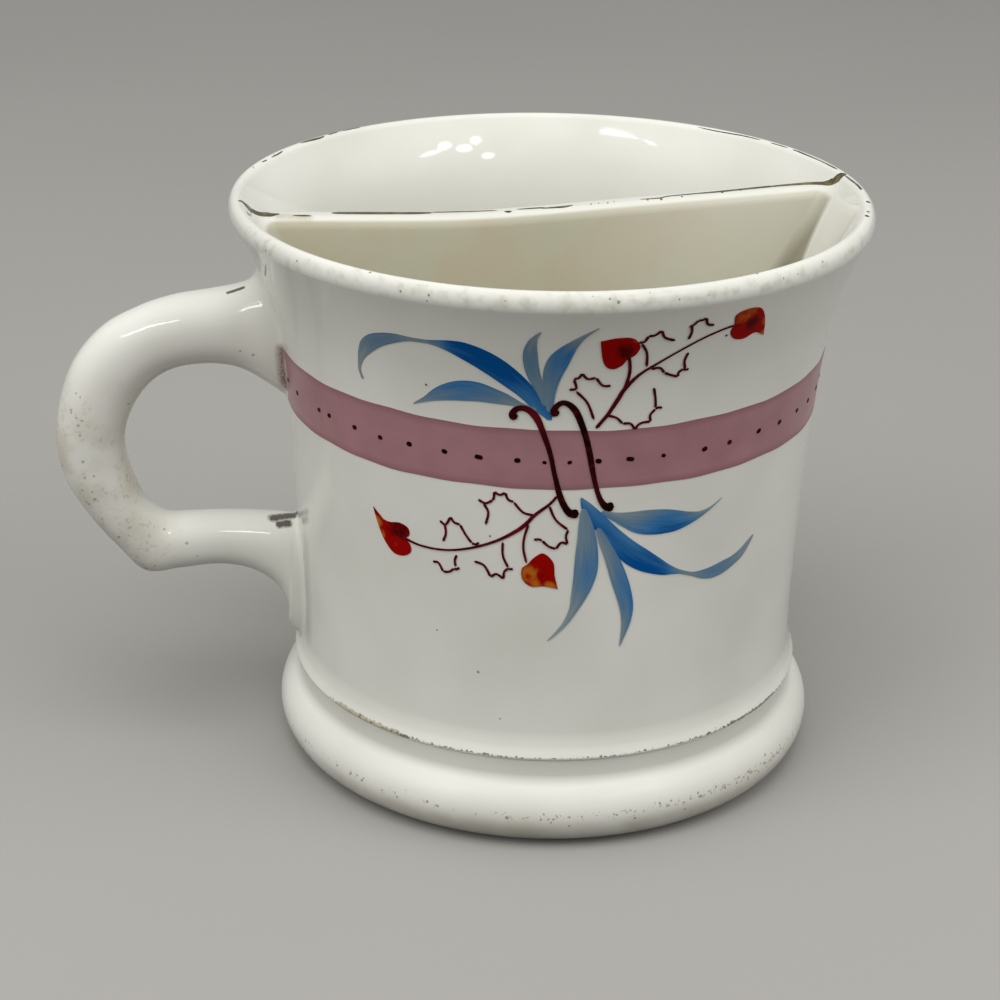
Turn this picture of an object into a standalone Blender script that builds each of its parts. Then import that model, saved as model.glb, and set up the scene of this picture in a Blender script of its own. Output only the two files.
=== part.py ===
"""Porcelain shaving mug with an inner divider and a pierced soap shelf.

Metres, +Z up, resting on z = 0. The handle points to -X, the soap pocket opens towards -Y and the
brush well lies behind the divider, towards +Y. The world origin is under the middle of the whole
outline, handle included, so the mug's own axis stands a little way along +X.
"""
import math

import bpy
import bmesh
from mathutils import Vector

MM = 0.001

# Slip-filled joint that is left open between two luted pieces
LUTE_GAP = 0.3 * MM

# Turned wall, radii from the mug's axis and heights from the table
HEIGHT = 89.0 * MM
WALL = 3.4 * MM
LIP = 2.8 * MM
LIP_LEAN = math.radians(22.5)
RIM_RADIUS = 48.1 * MM
FLARE_RADIUS = 44.1 * MM
FLARE_DROP = 13.0 * MM
BAND_RADIUS = 41.5 * MM
BAND_DROP = 22.5 * MM
BELLY_RADIUS = 39.9 * MM
BELLY_HEIGHT = 47.0 * MM
WAIST_RADIUS = 39.1 * MM
WAIST_HEIGHT = 27.0 * MM
SHOULDER_RADIUS = 40.2 * MM
SHOULDER_HEIGHT = 14.0 * MM
SHOULDER_EDGE = 0.6 * MM

# Foot moulding: a cove under the shoulder, then a half-round that stands on the table
NECK_RADIUS = 39.0 * MM
COVE_RADIUS = 38.2 * MM
FOOT_RADIUS = 42.7 * MM
FOOT_ROUND = 5.4 * MM
REST_WIDTH = 2.3 * MM
REST_CHAMFER = 0.6 * MM
COVE_TURN = math.radians(62.0)

# Floor disc, set into the foot over a shallow recess
RECESS = 4.0 * MM
FLOOR = 4.5 * MM

# Divider, a slab across the mug that leans on no other piece than the wall
DIVIDER_THICK = 2.8 * MM
DIVIDER_OFFSET = 4.5 * MM
DIVIDER_TURN = math.radians(4.2)
DIVIDER_SAG = [
    (-38.0 * MM, 3.6 * MM),
    (-12.0 * MM, 4.4 * MM),
    (17.0 * MM, 3.2 * MM),
    (38.0 * MM, 2.2 * MM),
]

# Soap shelf in front of the divider, with its drain holes
SOAP_DEPTH = 29.0 * MM
SHELF = 3.2 * MM
DRAIN_HOLE = 5.0 * MM
DRAIN_RING = 9.5 * MM
DRAIN_COUNT = 6
DRAIN_SETBACK = 15.0 * MM

# Handle sections from the upper root round the bow to the lower root. Each has its outer point and
# its inner point, as reach from the waist and height, and the half thickness across the strap. The
# strap is stretched upright where its upper root has to follow the rim.
HANDLE_DROP = 9.0 * MM
HANDLE_SECTIONS = [
    ((-6.0 * MM, 80.0 * MM), (-7.0 * MM, 52.0 * MM), 7.4 * MM),
    ((5.5 * MM, 76.2 * MM), (1.9 * MM, 58.0 * MM), 6.2 * MM),
    ((8.4 * MM, 75.2 * MM), (7.0 * MM, 61.6 * MM), 5.4 * MM),
    ((12.6 * MM, 74.4 * MM), (10.9 * MM, 63.0 * MM), 5.2 * MM),
    ((17.9 * MM, 73.6 * MM), (15.5 * MM, 63.1 * MM), 5.1 * MM),
    ((23.1 * MM, 72.0 * MM), (19.2 * MM, 62.2 * MM), 5.0 * MM),
    ((29.2 * MM, 68.7 * MM), (22.4 * MM, 59.9 * MM), 5.0 * MM),
    ((34.0 * MM, 62.7 * MM), (24.9 * MM, 56.2 * MM), 4.9 * MM),
    ((36.6 * MM, 53.3 * MM), (26.3 * MM, 51.6 * MM), 4.8 * MM),
    ((35.9 * MM, 45.5 * MM), (25.9 * MM, 47.0 * MM), 4.7 * MM),
    ((32.4 * MM, 38.7 * MM), (24.5 * MM, 42.6 * MM), 4.6 * MM),
    ((28.1 * MM, 33.0 * MM), (22.8 * MM, 39.9 * MM), 4.5 * MM),
    ((24.2 * MM, 28.9 * MM), (20.4 * MM, 38.2 * MM), 4.4 * MM),
    ((18.4 * MM, 29.3 * MM), (16.9 * MM, 38.0 * MM), 4.4 * MM),
    ((12.4 * MM, 29.7 * MM), (11.9 * MM, 38.0 * MM), 4.3 * MM),
    ((7.7 * MM, 28.7 * MM), (7.4 * MM, 37.8 * MM), 4.4 * MM),
    ((4.0 * MM, 26.1 * MM), (3.5 * MM, 37.5 * MM), 4.8 * MM),
    ((2.0 * MM, 22.0 * MM), (0.9 * MM, 37.2 * MM), 5.0 * MM),
    ((-5.0 * MM, 12.0 * MM), (-7.0 * MM, 37.0 * MM), 5.4 * MM),
]
STRAP_SQUARENESS = 2.3

# Facets
SEGMENTS = 60
WALL_STEPS = 4
ARC_STEPS = 8
STRAP_SIDES = 20
STRAP_STEPS = 2
HOLE_SIDES = 20
SHARP_ANGLE = math.radians(40.0)
MERGE_DISTANCE = 0.003 * MM

# Room that a cutter keeps past what it cuts
CUTTER_MARGIN = 10.0 * MM

# Glazes, as base colour and roughness: clean outside, dulled by soap inside
CLEAN_GLAZE = ((0.80, 0.79, 0.75), 0.12)
STAINED_GLAZE = ((0.62, 0.58, 0.50), 0.32)


def clear_scene():
    """Empties the file that the script starts in."""
    for old in list(bpy.data.objects):
        bpy.data.objects.remove(old, do_unlink=True)


def glaze(name, colour, roughness):
    """Fired glaze: a non-metal with its own tint and polish."""
    material = bpy.data.materials.new(name)
    material.use_nodes = True
    shader = material.node_tree.nodes["Principled BSDF"]
    shader.inputs["Base Color"].default_value = (*colour, 1.0)
    shader.inputs["Roughness"].default_value = roughness
    shader.inputs["Metallic"].default_value = 0.0
    material.diffuse_color = (*colour, 1.0)
    return material


def smooth(points, steps):
    """A cubic curve through the points, its slopes weighted by the chords, with steps in each span."""
    knots = [0.0]
    for a, b in zip(points, points[1:]):
        knots.append(knots[-1] + math.dist(a, b))
    last = len(points) - 1
    slopes = []
    for i in range(last + 1):
        low, high = max(i - 1, 0), min(i + 1, last)
        slopes.append([(b - a) / (knots[high] - knots[low]) for a, b in zip(points[low], points[high])])
    curve = []
    for i in range(last):
        span = knots[i + 1] - knots[i]
        for step in range(steps):
            t = step / steps
            rise = t * t * (3 - 2 * t)
            leave, arrive = t * (1 - t) ** 2 * span, t * t * (t - 1) * span
            curve.append(tuple(
                a + (b - a) * rise + m * leave + n * arrive
                for a, b, m, n in zip(points[i], points[i + 1], slopes[i], slopes[i + 1])))
    curve.append(tuple(points[-1]))
    return curve


def offset(curve, distance):
    """The curve moved to its left by a distance that may change with the height."""
    moved = []
    last = len(curve) - 1
    for i, (r, z) in enumerate(curve):
        before = curve[max(i - 1, 0)]
        after = curve[min(i + 1, last)]
        along = Vector((after[0] - before[0], after[1] - before[1])).normalized()
        moved.append((r - along.y * distance(z), z + along.x * distance(z)))
    return moved


def arc(centre, radius, start, end, steps):
    """Points on a circle in the turning plane, from one angle to another."""
    angles = [start + (end - start) * i / steps for i in range(steps + 1)]
    return [(centre[0] + radius * math.cos(a), centre[1] + radius * math.sin(a)) for a in angles]


def finish(name, mesh_data, parent, material=None):
    """A named object from a bmesh, with its faces out. With no material it is a hidden cutter."""
    bmesh.ops.recalc_face_normals(mesh_data, faces=mesh_data.faces)
    mesh = bpy.data.meshes.new(name)
    mesh_data.to_mesh(mesh)
    mesh_data.free()
    piece = bpy.data.objects.new(name, mesh)
    piece.parent = parent
    bpy.context.scene.collection.objects.link(piece)
    if material is None:
        piece.hide_render = True
        piece.display_type = "WIRE"
    else:
        mesh.materials.append(material)
        mesh.shade_smooth()
        mesh.set_sharp_from_angle(angle=SHARP_ANGLE)
    return piece


def turned(profile):
    """A closed solid of revolution about Z from a closed outline of (radius, height) points."""
    solid = bmesh.new()
    corners = [solid.verts.new((r, 0.0, z)) for r, z in profile]
    edges = [solid.edges.new(pair) for pair in zip(corners, corners[1:] + corners[:1])
             if max(pair[0].co.x, pair[1].co.x) > 0.0]
    bmesh.ops.spin(solid, geom=corners + edges, cent=(0, 0, 0), axis=(0, 0, 1),
                   angle=2 * math.pi, steps=SEGMENTS, use_merge=True)
    bmesh.ops.remove_doubles(solid, verts=solid.verts, dist=MERGE_DISTANCE)
    return solid


def lofted(rings):
    """A closed solid through rings of equal count, with its two ends filled."""
    solid = bmesh.new()
    loops = [[solid.verts.new(point) for point in ring] for ring in rings]
    for near, far in zip(loops, loops[1:]):
        for i in range(len(near)):
            j = (i + 1) % len(near)
            solid.faces.new((near[i], near[j], far[j], far[i]))
    solid.faces.new(loops[0][::-1])
    solid.faces.new(loops[-1])
    return solid


def cut(piece, cutter, operation):
    """Leaves a live Boolean on the piece."""
    modifier = piece.modifiers.new(cutter.name, "BOOLEAN")
    modifier.operation = operation
    modifier.object = cutter


def empty(name, location, turn=0.0, parent=None):
    """A reference point that carries pieces."""
    holder = bpy.data.objects.new(name, None)
    holder.location = location
    holder.rotation_euler = (0.0, 0.0, turn)
    holder.parent = parent
    bpy.context.scene.collection.objects.link(holder)
    return holder


def lip_point(turn, gap=0.0):
    """A point on the lip's round, or off it by a gap, at an angle from straight out."""
    centre = (RIM_RADIUS - LIP / 2, HEIGHT - LIP / 2)
    reach = LIP / 2 + gap
    return (centre[0] + reach * math.cos(turn), centre[1] + reach * math.sin(turn))


def wall_outside():
    """The wall's outer curve, from the shoulder edge up to where the lip's round begins."""
    stations = [
        (SHOULDER_RADIUS, SHOULDER_HEIGHT + SHOULDER_EDGE),
        (WAIST_RADIUS, WAIST_HEIGHT),
        (BELLY_RADIUS, BELLY_HEIGHT),
        (BAND_RADIUS, HEIGHT - BAND_DROP),
        (FLARE_RADIUS, HEIGHT - FLARE_DROP),
        lip_point(-LIP_LEAN),
    ]
    return smooth(stations, WALL_STEPS)


def wall_inside(gap=0.0):
    """The wall's inner curve, from the foot up to the lip, moved into the hollow by a gap."""
    thin = (WALL - LIP) / BAND_DROP

    def thickness(z):
        return gap + WALL - thin * max(z - HEIGHT + BAND_DROP, 0.0)

    return offset(wall_outside(), thickness)[:-1] + [lip_point(math.pi - LIP_LEAN, gap)]


def inner_foot_radius():
    """Radius of the hollow at the wall's lower edge."""
    return wall_inside()[0][0]


def build_wall(mug, material):
    """Flared wall with a half-round lip, ending in a small shoulder over the foot."""
    outside = wall_outside()
    lip = [lip_point(-LIP_LEAN + math.pi * i / ARC_STEPS) for i in range(1, ARC_STEPS)]
    inside = wall_inside()[::-1]
    bottom = [
        (inner_foot_radius(), SHOULDER_HEIGHT),
        (SHOULDER_RADIUS - SHOULDER_EDGE, SHOULDER_HEIGHT),
    ]
    finish("body_wall", turned(outside + lip + inside + bottom), mug, material)


def foot_top():
    """Height of the foot's seat under the wall."""
    return SHOULDER_HEIGHT - LUTE_GAP


def build_foot(mug, material):
    """Foot ring: cove, half-round and a narrow rest, with a ledge inside for the floor disc."""
    centre = (FOOT_RADIUS - FOOT_ROUND, FOOT_ROUND)
    half_round = arc(centre, FOOT_ROUND, COVE_TURN, -math.pi / 2, ARC_STEPS * 2)
    cove_height = (half_round[0][1] + foot_top()) / 2
    cove = smooth([(NECK_RADIUS, foot_top()), (COVE_RADIUS, cove_height), half_round[0]], WALL_STEPS)
    rest_inner = centre[0] - REST_WIDTH
    inside = [
        (rest_inner, 0.0),
        (rest_inner - REST_CHAMFER, REST_CHAMFER),
        (rest_inner - REST_CHAMFER, RECESS - LUTE_GAP),
        (inner_foot_radius(), RECESS - LUTE_GAP),
        (inner_foot_radius(), foot_top()),
    ]
    finish("foot_ring", turned(cove[:-1] + half_round + inside), mug, material)


def build_floor(mug, material):
    """Flat disc that closes the mug, resting on the ledge in the foot ring."""
    radius = inner_foot_radius() - LUTE_GAP
    outline = [
        (0.0, RECESS + FLOOR),
        (radius, RECESS + FLOOR),
        (radius, RECESS),
        (0.0, RECESS),
    ]
    finish("base_floor", turned(outline), mug, material)


def handle_height(z):
    """A drawn height on the strap, stretched between the lower root and the drop under the rim."""
    top, bottom = HANDLE_SECTIONS[0][0][1], HANDLE_SECTIONS[-1][0][1]
    return bottom + (z - bottom) * (HEIGHT - HANDLE_DROP - bottom) / (top - bottom)


def handle_rings():
    """Rounded sections along the strap, each in the plane of its outer and inner point."""
    stations = [(*outer, *inner, half) for outer, inner, half in HANDLE_SECTIONS]
    rings = []
    for reach_out, z_out, reach_in, z_in, half in smooth(stations, STRAP_STEPS):
        outer = Vector((-WAIST_RADIUS - reach_out, 0.0, handle_height(z_out)))
        inner = Vector((-WAIST_RADIUS - reach_in, 0.0, handle_height(z_in)))
        middle = (outer + inner) / 2
        ring = []
        for i in range(STRAP_SIDES):
            turn = 2 * math.pi * i / STRAP_SIDES
            across, along = (math.copysign(abs(v) ** (2 / STRAP_SQUARENESS), v)
                             for v in (math.sin(turn), math.cos(turn)))
            ring.append(middle + (outer - middle) * along + Vector((0.0, half * across, 0.0)))
        rings.append(ring)
    return rings


def build_handle(mug, material):
    """Ear-shaped handle, its two roots cut to the wall."""
    skin = offset(wall_outside(), lambda z: -LUTE_GAP)
    low = skin[0][1] - CUTTER_MARGIN
    core = [(0.0, low), (skin[0][0], low), *skin, (0.0, skin[-1][1])]
    wall_core = finish("wall_core", turned(core), mug)
    handle = finish("handle", lofted(handle_rings()), mug, material)
    cut(handle, wall_core, "DIFFERENCE")


def build_hollow(mug):
    """The mug's hollow, kept off the wall by the joint, that trims the divider and the shelf."""
    side = wall_inside(LUTE_GAP)
    crest = lip_point(math.pi / 2, LUTE_GAP)
    above = HEIGHT + CUTTER_MARGIN
    outline = [*side, crest, (crest[0], above), (0.0, above), (0.0, side[0][1])]
    return finish("hollow", turned(outline), mug)


def shelf_top():
    """Height of the surface that the soap lies on."""
    return HEIGHT - SOAP_DEPTH


def divider_section(along, top):
    """Round-topped section of the divider at one place along it."""
    half = DIVIDER_THICK / 2
    crown = arc((0.0, top - half), half, 0.0, math.pi, ARC_STEPS)
    outline = [*crown, (-half, shelf_top() - SHELF), (half, shelf_top() - SHELF)]
    return [(along, DIVIDER_OFFSET + across, z) for across, z in outline]


def build_divider(across_mug, hollow, material):
    """Upright slab across the mug, whose top edge sags a little between its ends."""
    beyond = RIM_RADIUS + CUTTER_MARGIN
    sag = smooth(DIVIDER_SAG, WALL_STEPS)
    drops = [(-beyond, sag[0][1]), *sag, (beyond, sag[-1][1])]
    rings = [divider_section(along, HEIGHT - drop) for along, drop in drops]
    divider = finish("divider", lofted(rings), across_mug, material)
    cut(divider, hollow, "INTERSECT")


def drain_holes(across_mug, front):
    """One cutter for all the shelf's drain holes: a middle one and a ring round it."""
    middle = front - DRAIN_SETBACK
    places = [(0.0, middle)]
    for i in range(DRAIN_COUNT):
        turn = 2 * math.pi * i / DRAIN_COUNT
        places.append((DRAIN_RING * math.cos(turn), middle + DRAIN_RING * math.sin(turn)))
    drill = bmesh.new()
    for x, y in places:
        made = bmesh.ops.create_cone(drill, cap_ends=True, segments=HOLE_SIDES, radius1=DRAIN_HOLE / 2,
                                     radius2=DRAIN_HOLE / 2, depth=SHELF + CUTTER_MARGIN)
        bmesh.ops.translate(drill, verts=made["verts"], vec=(x, y, shelf_top() - SHELF / 2))
    return finish("drain_holes", drill, across_mug)


def build_shelf(across_mug, hollow, material):
    """Half-moon shelf between the divider and the front wall, pierced so that water drains."""
    front = DIVIDER_OFFSET - DIVIDER_THICK / 2 - LUTE_GAP
    reach = RIM_RADIUS + CUTTER_MARGIN
    plate = [(-reach, -reach), (reach, -reach), (reach, front), (-reach, front)]
    levels = (shelf_top() - SHELF, shelf_top())
    shelf = finish("soap_shelf", lofted([[(x, y, z) for x, y in plate] for z in levels]),
                   across_mug, material)
    cut(shelf, hollow, "INTERSECT")
    cut(shelf, drain_holes(across_mug, front), "DIFFERENCE")


def handle_reach():
    """Farthest radius of the handle from the mug's axis."""
    return max(-point.x for ring in handle_rings() for point in ring)


def main():
    clear_scene()
    clean_glaze = glaze("porcelain_glaze", *CLEAN_GLAZE)
    stained_glaze = glaze("soap_stained_glaze", *STAINED_GLAZE)
    mug = empty("mug", ((handle_reach() - RIM_RADIUS) / 2, 0.0, 0.0))
    across_mug = empty("across_mug", (0.0, 0.0, 0.0), DIVIDER_TURN, mug)
    build_wall(mug, clean_glaze)
    build_foot(mug, clean_glaze)
    build_floor(mug, clean_glaze)
    build_handle(mug, clean_glaze)
    hollow = build_hollow(mug)
    build_divider(across_mug, hollow, stained_glaze)
    build_shelf(across_mug, hollow, stained_glaze)


main()
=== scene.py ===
"""Looks of a porcelain shaving mug: clear glaze, hand-painted enamels and worn gilding on a plain stage.

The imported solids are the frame. Each of them is replaced by a finely turned or swept piece of the same
size, and the painting lies on the wall as thin coats of enamel. Places on the wall are given as the
way along it from the front, at the radius of the pink band, and the height over the table.
"""
import bisect
import math
import random

import bpy
from bpy.props import FloatProperty, FloatVectorProperty, PointerProperty
from mathutils import Matrix, Vector
from mathutils.bvhtree import BVHTree


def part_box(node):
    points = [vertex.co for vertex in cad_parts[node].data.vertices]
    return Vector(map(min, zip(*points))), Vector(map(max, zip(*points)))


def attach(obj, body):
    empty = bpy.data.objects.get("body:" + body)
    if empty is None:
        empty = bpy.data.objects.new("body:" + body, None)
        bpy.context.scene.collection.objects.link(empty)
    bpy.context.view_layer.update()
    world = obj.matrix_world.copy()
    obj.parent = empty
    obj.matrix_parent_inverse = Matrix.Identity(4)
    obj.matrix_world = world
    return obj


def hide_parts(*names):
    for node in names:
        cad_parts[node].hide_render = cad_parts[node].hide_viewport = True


bl_info = {
    "name": "Painted shaving mug",
    "version": (1, 0, 0),
    "blender": (4, 5, 0),
    "location": "3D View > Sidebar > Mug",
    "description": "Dresses a mug's solids in glaze, painted enamels and worn gilding",
    "category": "Add Mesh",
}

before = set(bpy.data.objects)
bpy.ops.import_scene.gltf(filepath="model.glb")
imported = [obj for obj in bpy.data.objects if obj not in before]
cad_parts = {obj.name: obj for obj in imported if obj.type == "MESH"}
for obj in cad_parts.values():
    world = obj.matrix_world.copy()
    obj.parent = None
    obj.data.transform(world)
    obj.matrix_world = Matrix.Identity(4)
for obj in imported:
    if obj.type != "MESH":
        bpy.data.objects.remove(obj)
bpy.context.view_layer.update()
BODY = "root"

MM = 0.001
WALL_LOW, WALL_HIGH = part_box("body_wall")
FOOT_LOW, FOOT_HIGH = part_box("foot_ring")
FLOOR_LOW, FLOOR_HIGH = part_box("base_floor")
SHELF_LOW, SHELF_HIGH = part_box("soap_shelf")
AXIS = Vector(((FOOT_LOW.x + FOOT_HIGH.x) / 2, 0.0, 0.0))

# Fineness of the turned, swept and painted pieces
TURN_STEPS = 240
WALL_STEPS = 16
ARC_STEPS = 24
LIP_STEPS = 40
STRAP_STEPS = 12
STRAP_SIDES = 56
STRAP_RINGS = 170
FILLET_RINGS = 10
STROKE_STEPS = 6
STROKE_ROWS = 4
LEAF_STEPS = 8
LEAF_ROWS = 10
BAR_ROWS = 6
BAND_COLUMNS = 360
BAND_ROWS = 8
BUD_ROWS = 14
DIVIDER_COLUMNS = 160
FACE_ROWS = 24
EDGE_ROWS = 12
DRAIN_COUNT = 6
DRAIN_SIDES = 48
MERGE = 0.001 * MM
SMOOTH_ANGLE = math.radians(40.0)

# Handle sections from the upper root round the bow to the lower root, in millimetres: the outer point
# and the inner point, as reach from the waist and height, and the half thickness across the strap
HANDLE_SECTIONS = [
    (-6.0, 80.0, -7.0, 52.0, 7.4),
    (5.5, 76.2, 1.9, 58.0, 6.2),
    (8.4, 75.2, 7.0, 61.6, 5.4),
    (12.6, 74.4, 10.9, 63.0, 5.2),
    (17.9, 73.6, 15.5, 63.1, 5.1),
    (23.1, 72.0, 19.2, 62.2, 5.0),
    (29.2, 68.7, 22.4, 59.9, 5.0),
    (34.0, 62.7, 24.9, 56.2, 4.9),
    (36.6, 53.3, 26.3, 51.6, 4.8),
    (35.9, 45.5, 25.9, 47.0, 4.7),
    (32.4, 38.7, 24.5, 42.6, 4.6),
    (28.1, 33.0, 22.8, 39.9, 4.5),
    (24.2, 28.9, 20.4, 38.2, 4.4),
    (18.4, 29.3, 16.9, 38.0, 4.4),
    (12.4, 29.7, 11.9, 38.0, 4.3),
    (7.7, 28.6, 7.4, 37.8, 4.4),
    (4.0, 25.9, 3.5, 37.5, 4.7),
    (2.15, 22.0, 1.7, 37.3, 4.9),
    (1.9, 18.6, 0.4, 37.2, 5.0),
    (-4.0, 12.5, -7.0, 37.0, 5.4),
]
STRAP_SQUARENESS = 2.3

# How deep the last rings of the handle's roots lie in the wall
ROOT_DEPTHS = [0.05 * MM, 0.6 * MM]

# Skirt over the shoulder: share that is left of its spread, at a share of its height
SKIRT_PROFILE = [(0.4, 0.5), (0.06, 1.0)]

# Sag of the divider's top edge in millimetres: place along it, and drop below the rim
DIVIDER_SAG = [(-38.0, 3.6), (-12.0, 4.4), (17.0, 3.2), (38.0, 2.2)]

# Blue leaves: how much stronger the cobalt is on a stroke's left side, then in millimetres the way along
# the wall, the height, the half width and the strength of the cobalt
BLUE_LEAVES = [
    # Upper spray: long leaf, its curled end, low leaf and two upright leaves
    (-0.1, [(-5.5, 68.8, 0.35, 0.72), (-7.3, 71.2, 1.0, 0.76), (-9.0, 73.25, 1.25, 0.8),
            (-11.1, 75.3, 1.55, 0.94), (-13.0, 76.9, 1.68, 1.0), (-15.0, 78.2, 1.62, 1.0),
            (-17.0, 79.1, 1.4, 0.96), (-18.6, 79.5, 1.0, 0.85), (-20.3, 79.7, 0.55, 0.42),
            (-22.4, 79.75, 0.15, 0.2)]),
    (0.0, [(-21.4, 79.75, 0.3, 0.26), (-24.0, 79.65, 0.35, 0.25), (-26.0, 79.4, 0.68, 0.36),
           (-28.0, 78.8, 0.95, 0.4), (-29.9, 77.9, 1.1, 0.38), (-31.4, 76.7, 1.05, 0.3),
            (-32.6, 75.2, 0.7, 0.2),
           (-33.3, 73.9, 0.4, 0.14), (-33.8, 72.3, 0.22, 0.1), (-33.5, 70.8, 0.25, 0.1)]),
    (-0.1, [(-7.5, 70.3, 0.3, 0.2), (-9.5, 71.0, 0.35, 0.26), (-11.5, 71.7, 0.85, 0.36),
            (-13.5, 72.2, 1.25, 0.46), (-15.5, 72.55, 1.55, 0.54), (-17.5, 72.45, 1.6, 0.58),
            (-19.5, 71.95, 1.35, 0.54), (-21.3, 71.2, 0.95, 0.46), (-23.2, 70.1, 0.4, 0.3),
            (-25.2, 69.0, 0.08, 0.1)]),
    (0.0, [(-6.2, 71.0, 0.4, 0.36), (-7.0, 73.5, 0.65, 0.36), (-7.8, 75.5, 0.85, 0.38),
           (-8.25, 77.5, 0.95, 0.42), (-8.35, 79.5, 0.9, 0.4), (-8.1, 81.2, 0.6, 0.3),
           (-7.7, 82.2, 0.32, 0.2), (-7.0, 83.2, 0.08, 0.08)]),
    (-0.08, [(-5.7, 70.0, 0.35, 0.4), (-5.85, 72.3, 0.7, 0.4), (-5.75, 74.5, 1.0, 0.44),
             (-5.4, 76.6, 1.3, 0.5), (-4.75, 78.4, 1.35, 0.6), (-3.9, 79.9, 1.05, 0.62),
             (-2.9, 81.3, 0.6, 0.36), (-1.8, 82.5, 0.28, 0.2), (-0.1, 83.9, 0.06, 0.06)]),
    # Lower spray: long leaf, its curled end, level leaf and two hanging leaves
    (-0.16, [(-1.0, 56.7, 0.1, 0.5), (-0.2, 55.3, 0.75, 0.66), (1.2, 53.4, 1.15, 0.78),
             (2.9, 51.5, 1.25, 0.8), (4.8, 49.4, 1.45, 0.76), (6.8, 47.4, 1.7, 0.82),
             (8.9, 45.9, 1.65, 0.92), (10.8, 44.8, 1.35, 0.94), (12.6, 43.9, 0.95, 0.82),
             (14.3, 43.3, 0.5, 0.5), (16.0, 42.75, 0.2, 0.25)]),
    (0.0, [(15.2, 43.0, 0.3, 0.34), (17.5, 42.15, 0.3, 0.28), (19.5, 41.65, 0.7, 0.4),
           (21.5, 41.5, 0.98, 0.44), (23.5, 41.75, 1.05, 0.4), (25.5, 42.2, 0.85, 0.34),
           (27.3, 42.9, 0.75, 0.24), (28.8, 44.0, 0.5, 0.16), (30.1, 45.1, 0.12, 0.08)]),
    (-0.22, [(2.0, 54.3, 0.3, 0.45), (4.0, 53.45, 0.65, 0.36), (6.0, 52.75, 1.25, 0.38),
             (8.0, 52.2, 1.8, 0.46), (10.0, 51.9, 1.97, 0.6), (12.0, 51.7, 1.9, 0.72),
             (14.0, 51.5, 1.6, 0.72), (16.0, 51.5, 1.05, 0.6), (18.0, 51.75, 0.5, 0.36),
             (20.0, 52.45, 0.18, 0.16), (21.9, 53.5, 0.05, 0.06)]),
    (0.08, [(-0.6, 55.0, 0.3, 0.32), (-0.2, 52.5, 1.0, 0.34), (0.1, 50.0, 1.4, 0.38),
            (0.2, 47.5, 1.7, 0.44), (0.15, 45.0, 1.75, 0.52), (-0.25, 42.7, 1.5, 0.46),
            (-0.85, 40.6, 1.1, 0.34), (-1.5, 38.7, 0.65, 0.24), (-2.6, 36.6, 0.35, 0.16),
            (-3.9, 35.0, 0.2, 0.1), (-5.3, 33.6, 0.05, 0.04)]),
    (0.12, [(1.6, 51.8, 0.35, 0.36), (2.7, 49.4, 0.75, 0.34), (3.7, 47.3, 0.95, 0.36),
            (4.6, 45.2, 1.15, 0.44), (5.4, 43.0, 1.25, 0.52), (6.15, 40.8, 1.2, 0.56),
            (6.7, 38.5, 1.05, 0.54), (6.75, 36.3, 0.75, 0.42), (6.4, 34.3, 0.4, 0.3),
            (5.9, 32.2, 0.06, 0.14)]),
]

# Two hooked bars over the band: way along, height, half width and how red the paint is
HOOKED_BARS = [
    [(-10.25, 68.8, 0.76, 0.1), (-10.8, 69.5, 0.5, 0.2), (-10.2, 70.4, 0.42, 0.3), (-9.3, 70.6, 0.44, 0.6),
     (-8.4, 70.2, 0.5, 0.9), (-7.6, 69.3, 0.52, 1.0), (-7.0, 68.0, 0.45, 0.8), (-6.4, 66.3, 0.4, 0.4),
     (-5.8, 64.5, 0.36, 0.2), (-5.35, 62.8, 0.34, 0.15), (-5.0, 61.0, 0.34, 0.15), (-4.6, 59.3, 0.36, 0.1),
     (-4.25, 57.8, 0.42, 0.1), (-3.75, 56.3, 0.47, 0.1), (-3.1, 55.0, 0.5, 0.0), (-2.4, 54.25, 0.6, 0.0),
     (-1.2, 54.2, 0.85, 0.0)],
    [(-4.65, 69.6, 0.75, 0.35), (-5.2, 70.3, 0.5, 0.3), (-4.75, 71.2, 0.4, 0.2), (-4.0, 71.65, 0.4, 0.1),
     (-3.2, 71.35, 0.43, 0.1), (-2.4, 70.5, 0.47, 0.05), (-1.8, 69.3, 0.47, 0.0), (-1.3, 68.0, 0.45, 0.0),
     (-0.8, 66.5, 0.43, 0.0), (-0.4, 65.0, 0.43, 0.0), (-0.05, 63.5, 0.43, 0.1), (0.25, 62.0, 0.42, 0.1),
     (0.55, 60.5, 0.38, 0.2), (0.95, 58.8, 0.35, 0.35), (1.4, 57.3, 0.36, 0.4), (1.95, 56.0, 0.42, 0.2),
     (2.7, 55.15, 0.58, 0.0), (3.85, 55.1, 0.92, 0.0)],
]

# Stems of the sprigs: way along, height and half width
STEMS = [
    [(0.6, 67.5, 0.24), (1.4, 68.6, 0.25), (2.1, 69.6, 0.26), (3.4, 72.1, 0.32), (4.0, 73.4, 0.3),
     (5.8, 75.7, 0.22), (8.0, 77.3, 0.17), (11.0, 79.2, 0.15), (14.0, 80.8, 0.15), (17.0, 81.8, 0.16),
     (18.8, 81.9, 0.2)],
    [(4.0, 73.4, 0.24), (4.35, 75.0, 0.23), (4.45, 76.5, 0.23), (4.2, 78.2, 0.22), (3.7, 79.6, 0.3)],
    [(-4.4, 57.0, 0.18), (-5.3, 55.8, 0.2), (-7.6, 53.8, 0.25), (-8.6, 52.6, 0.28), (-10.0, 51.3, 0.28),
     (-13.0, 49.4, 0.21), (-17.0, 47.7, 0.18), (-21.0, 46.7, 0.16), (-25.0, 46.55, 0.17),
      (-27.6, 47.0, 0.2),
     (-29.4, 47.6, 0.24)],
    [(-8.4, 52.4, 0.2), (-9.0, 50.2, 0.18), (-9.1, 48.4, 0.18), (-8.6, 46.1, 0.18)],
]

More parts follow.
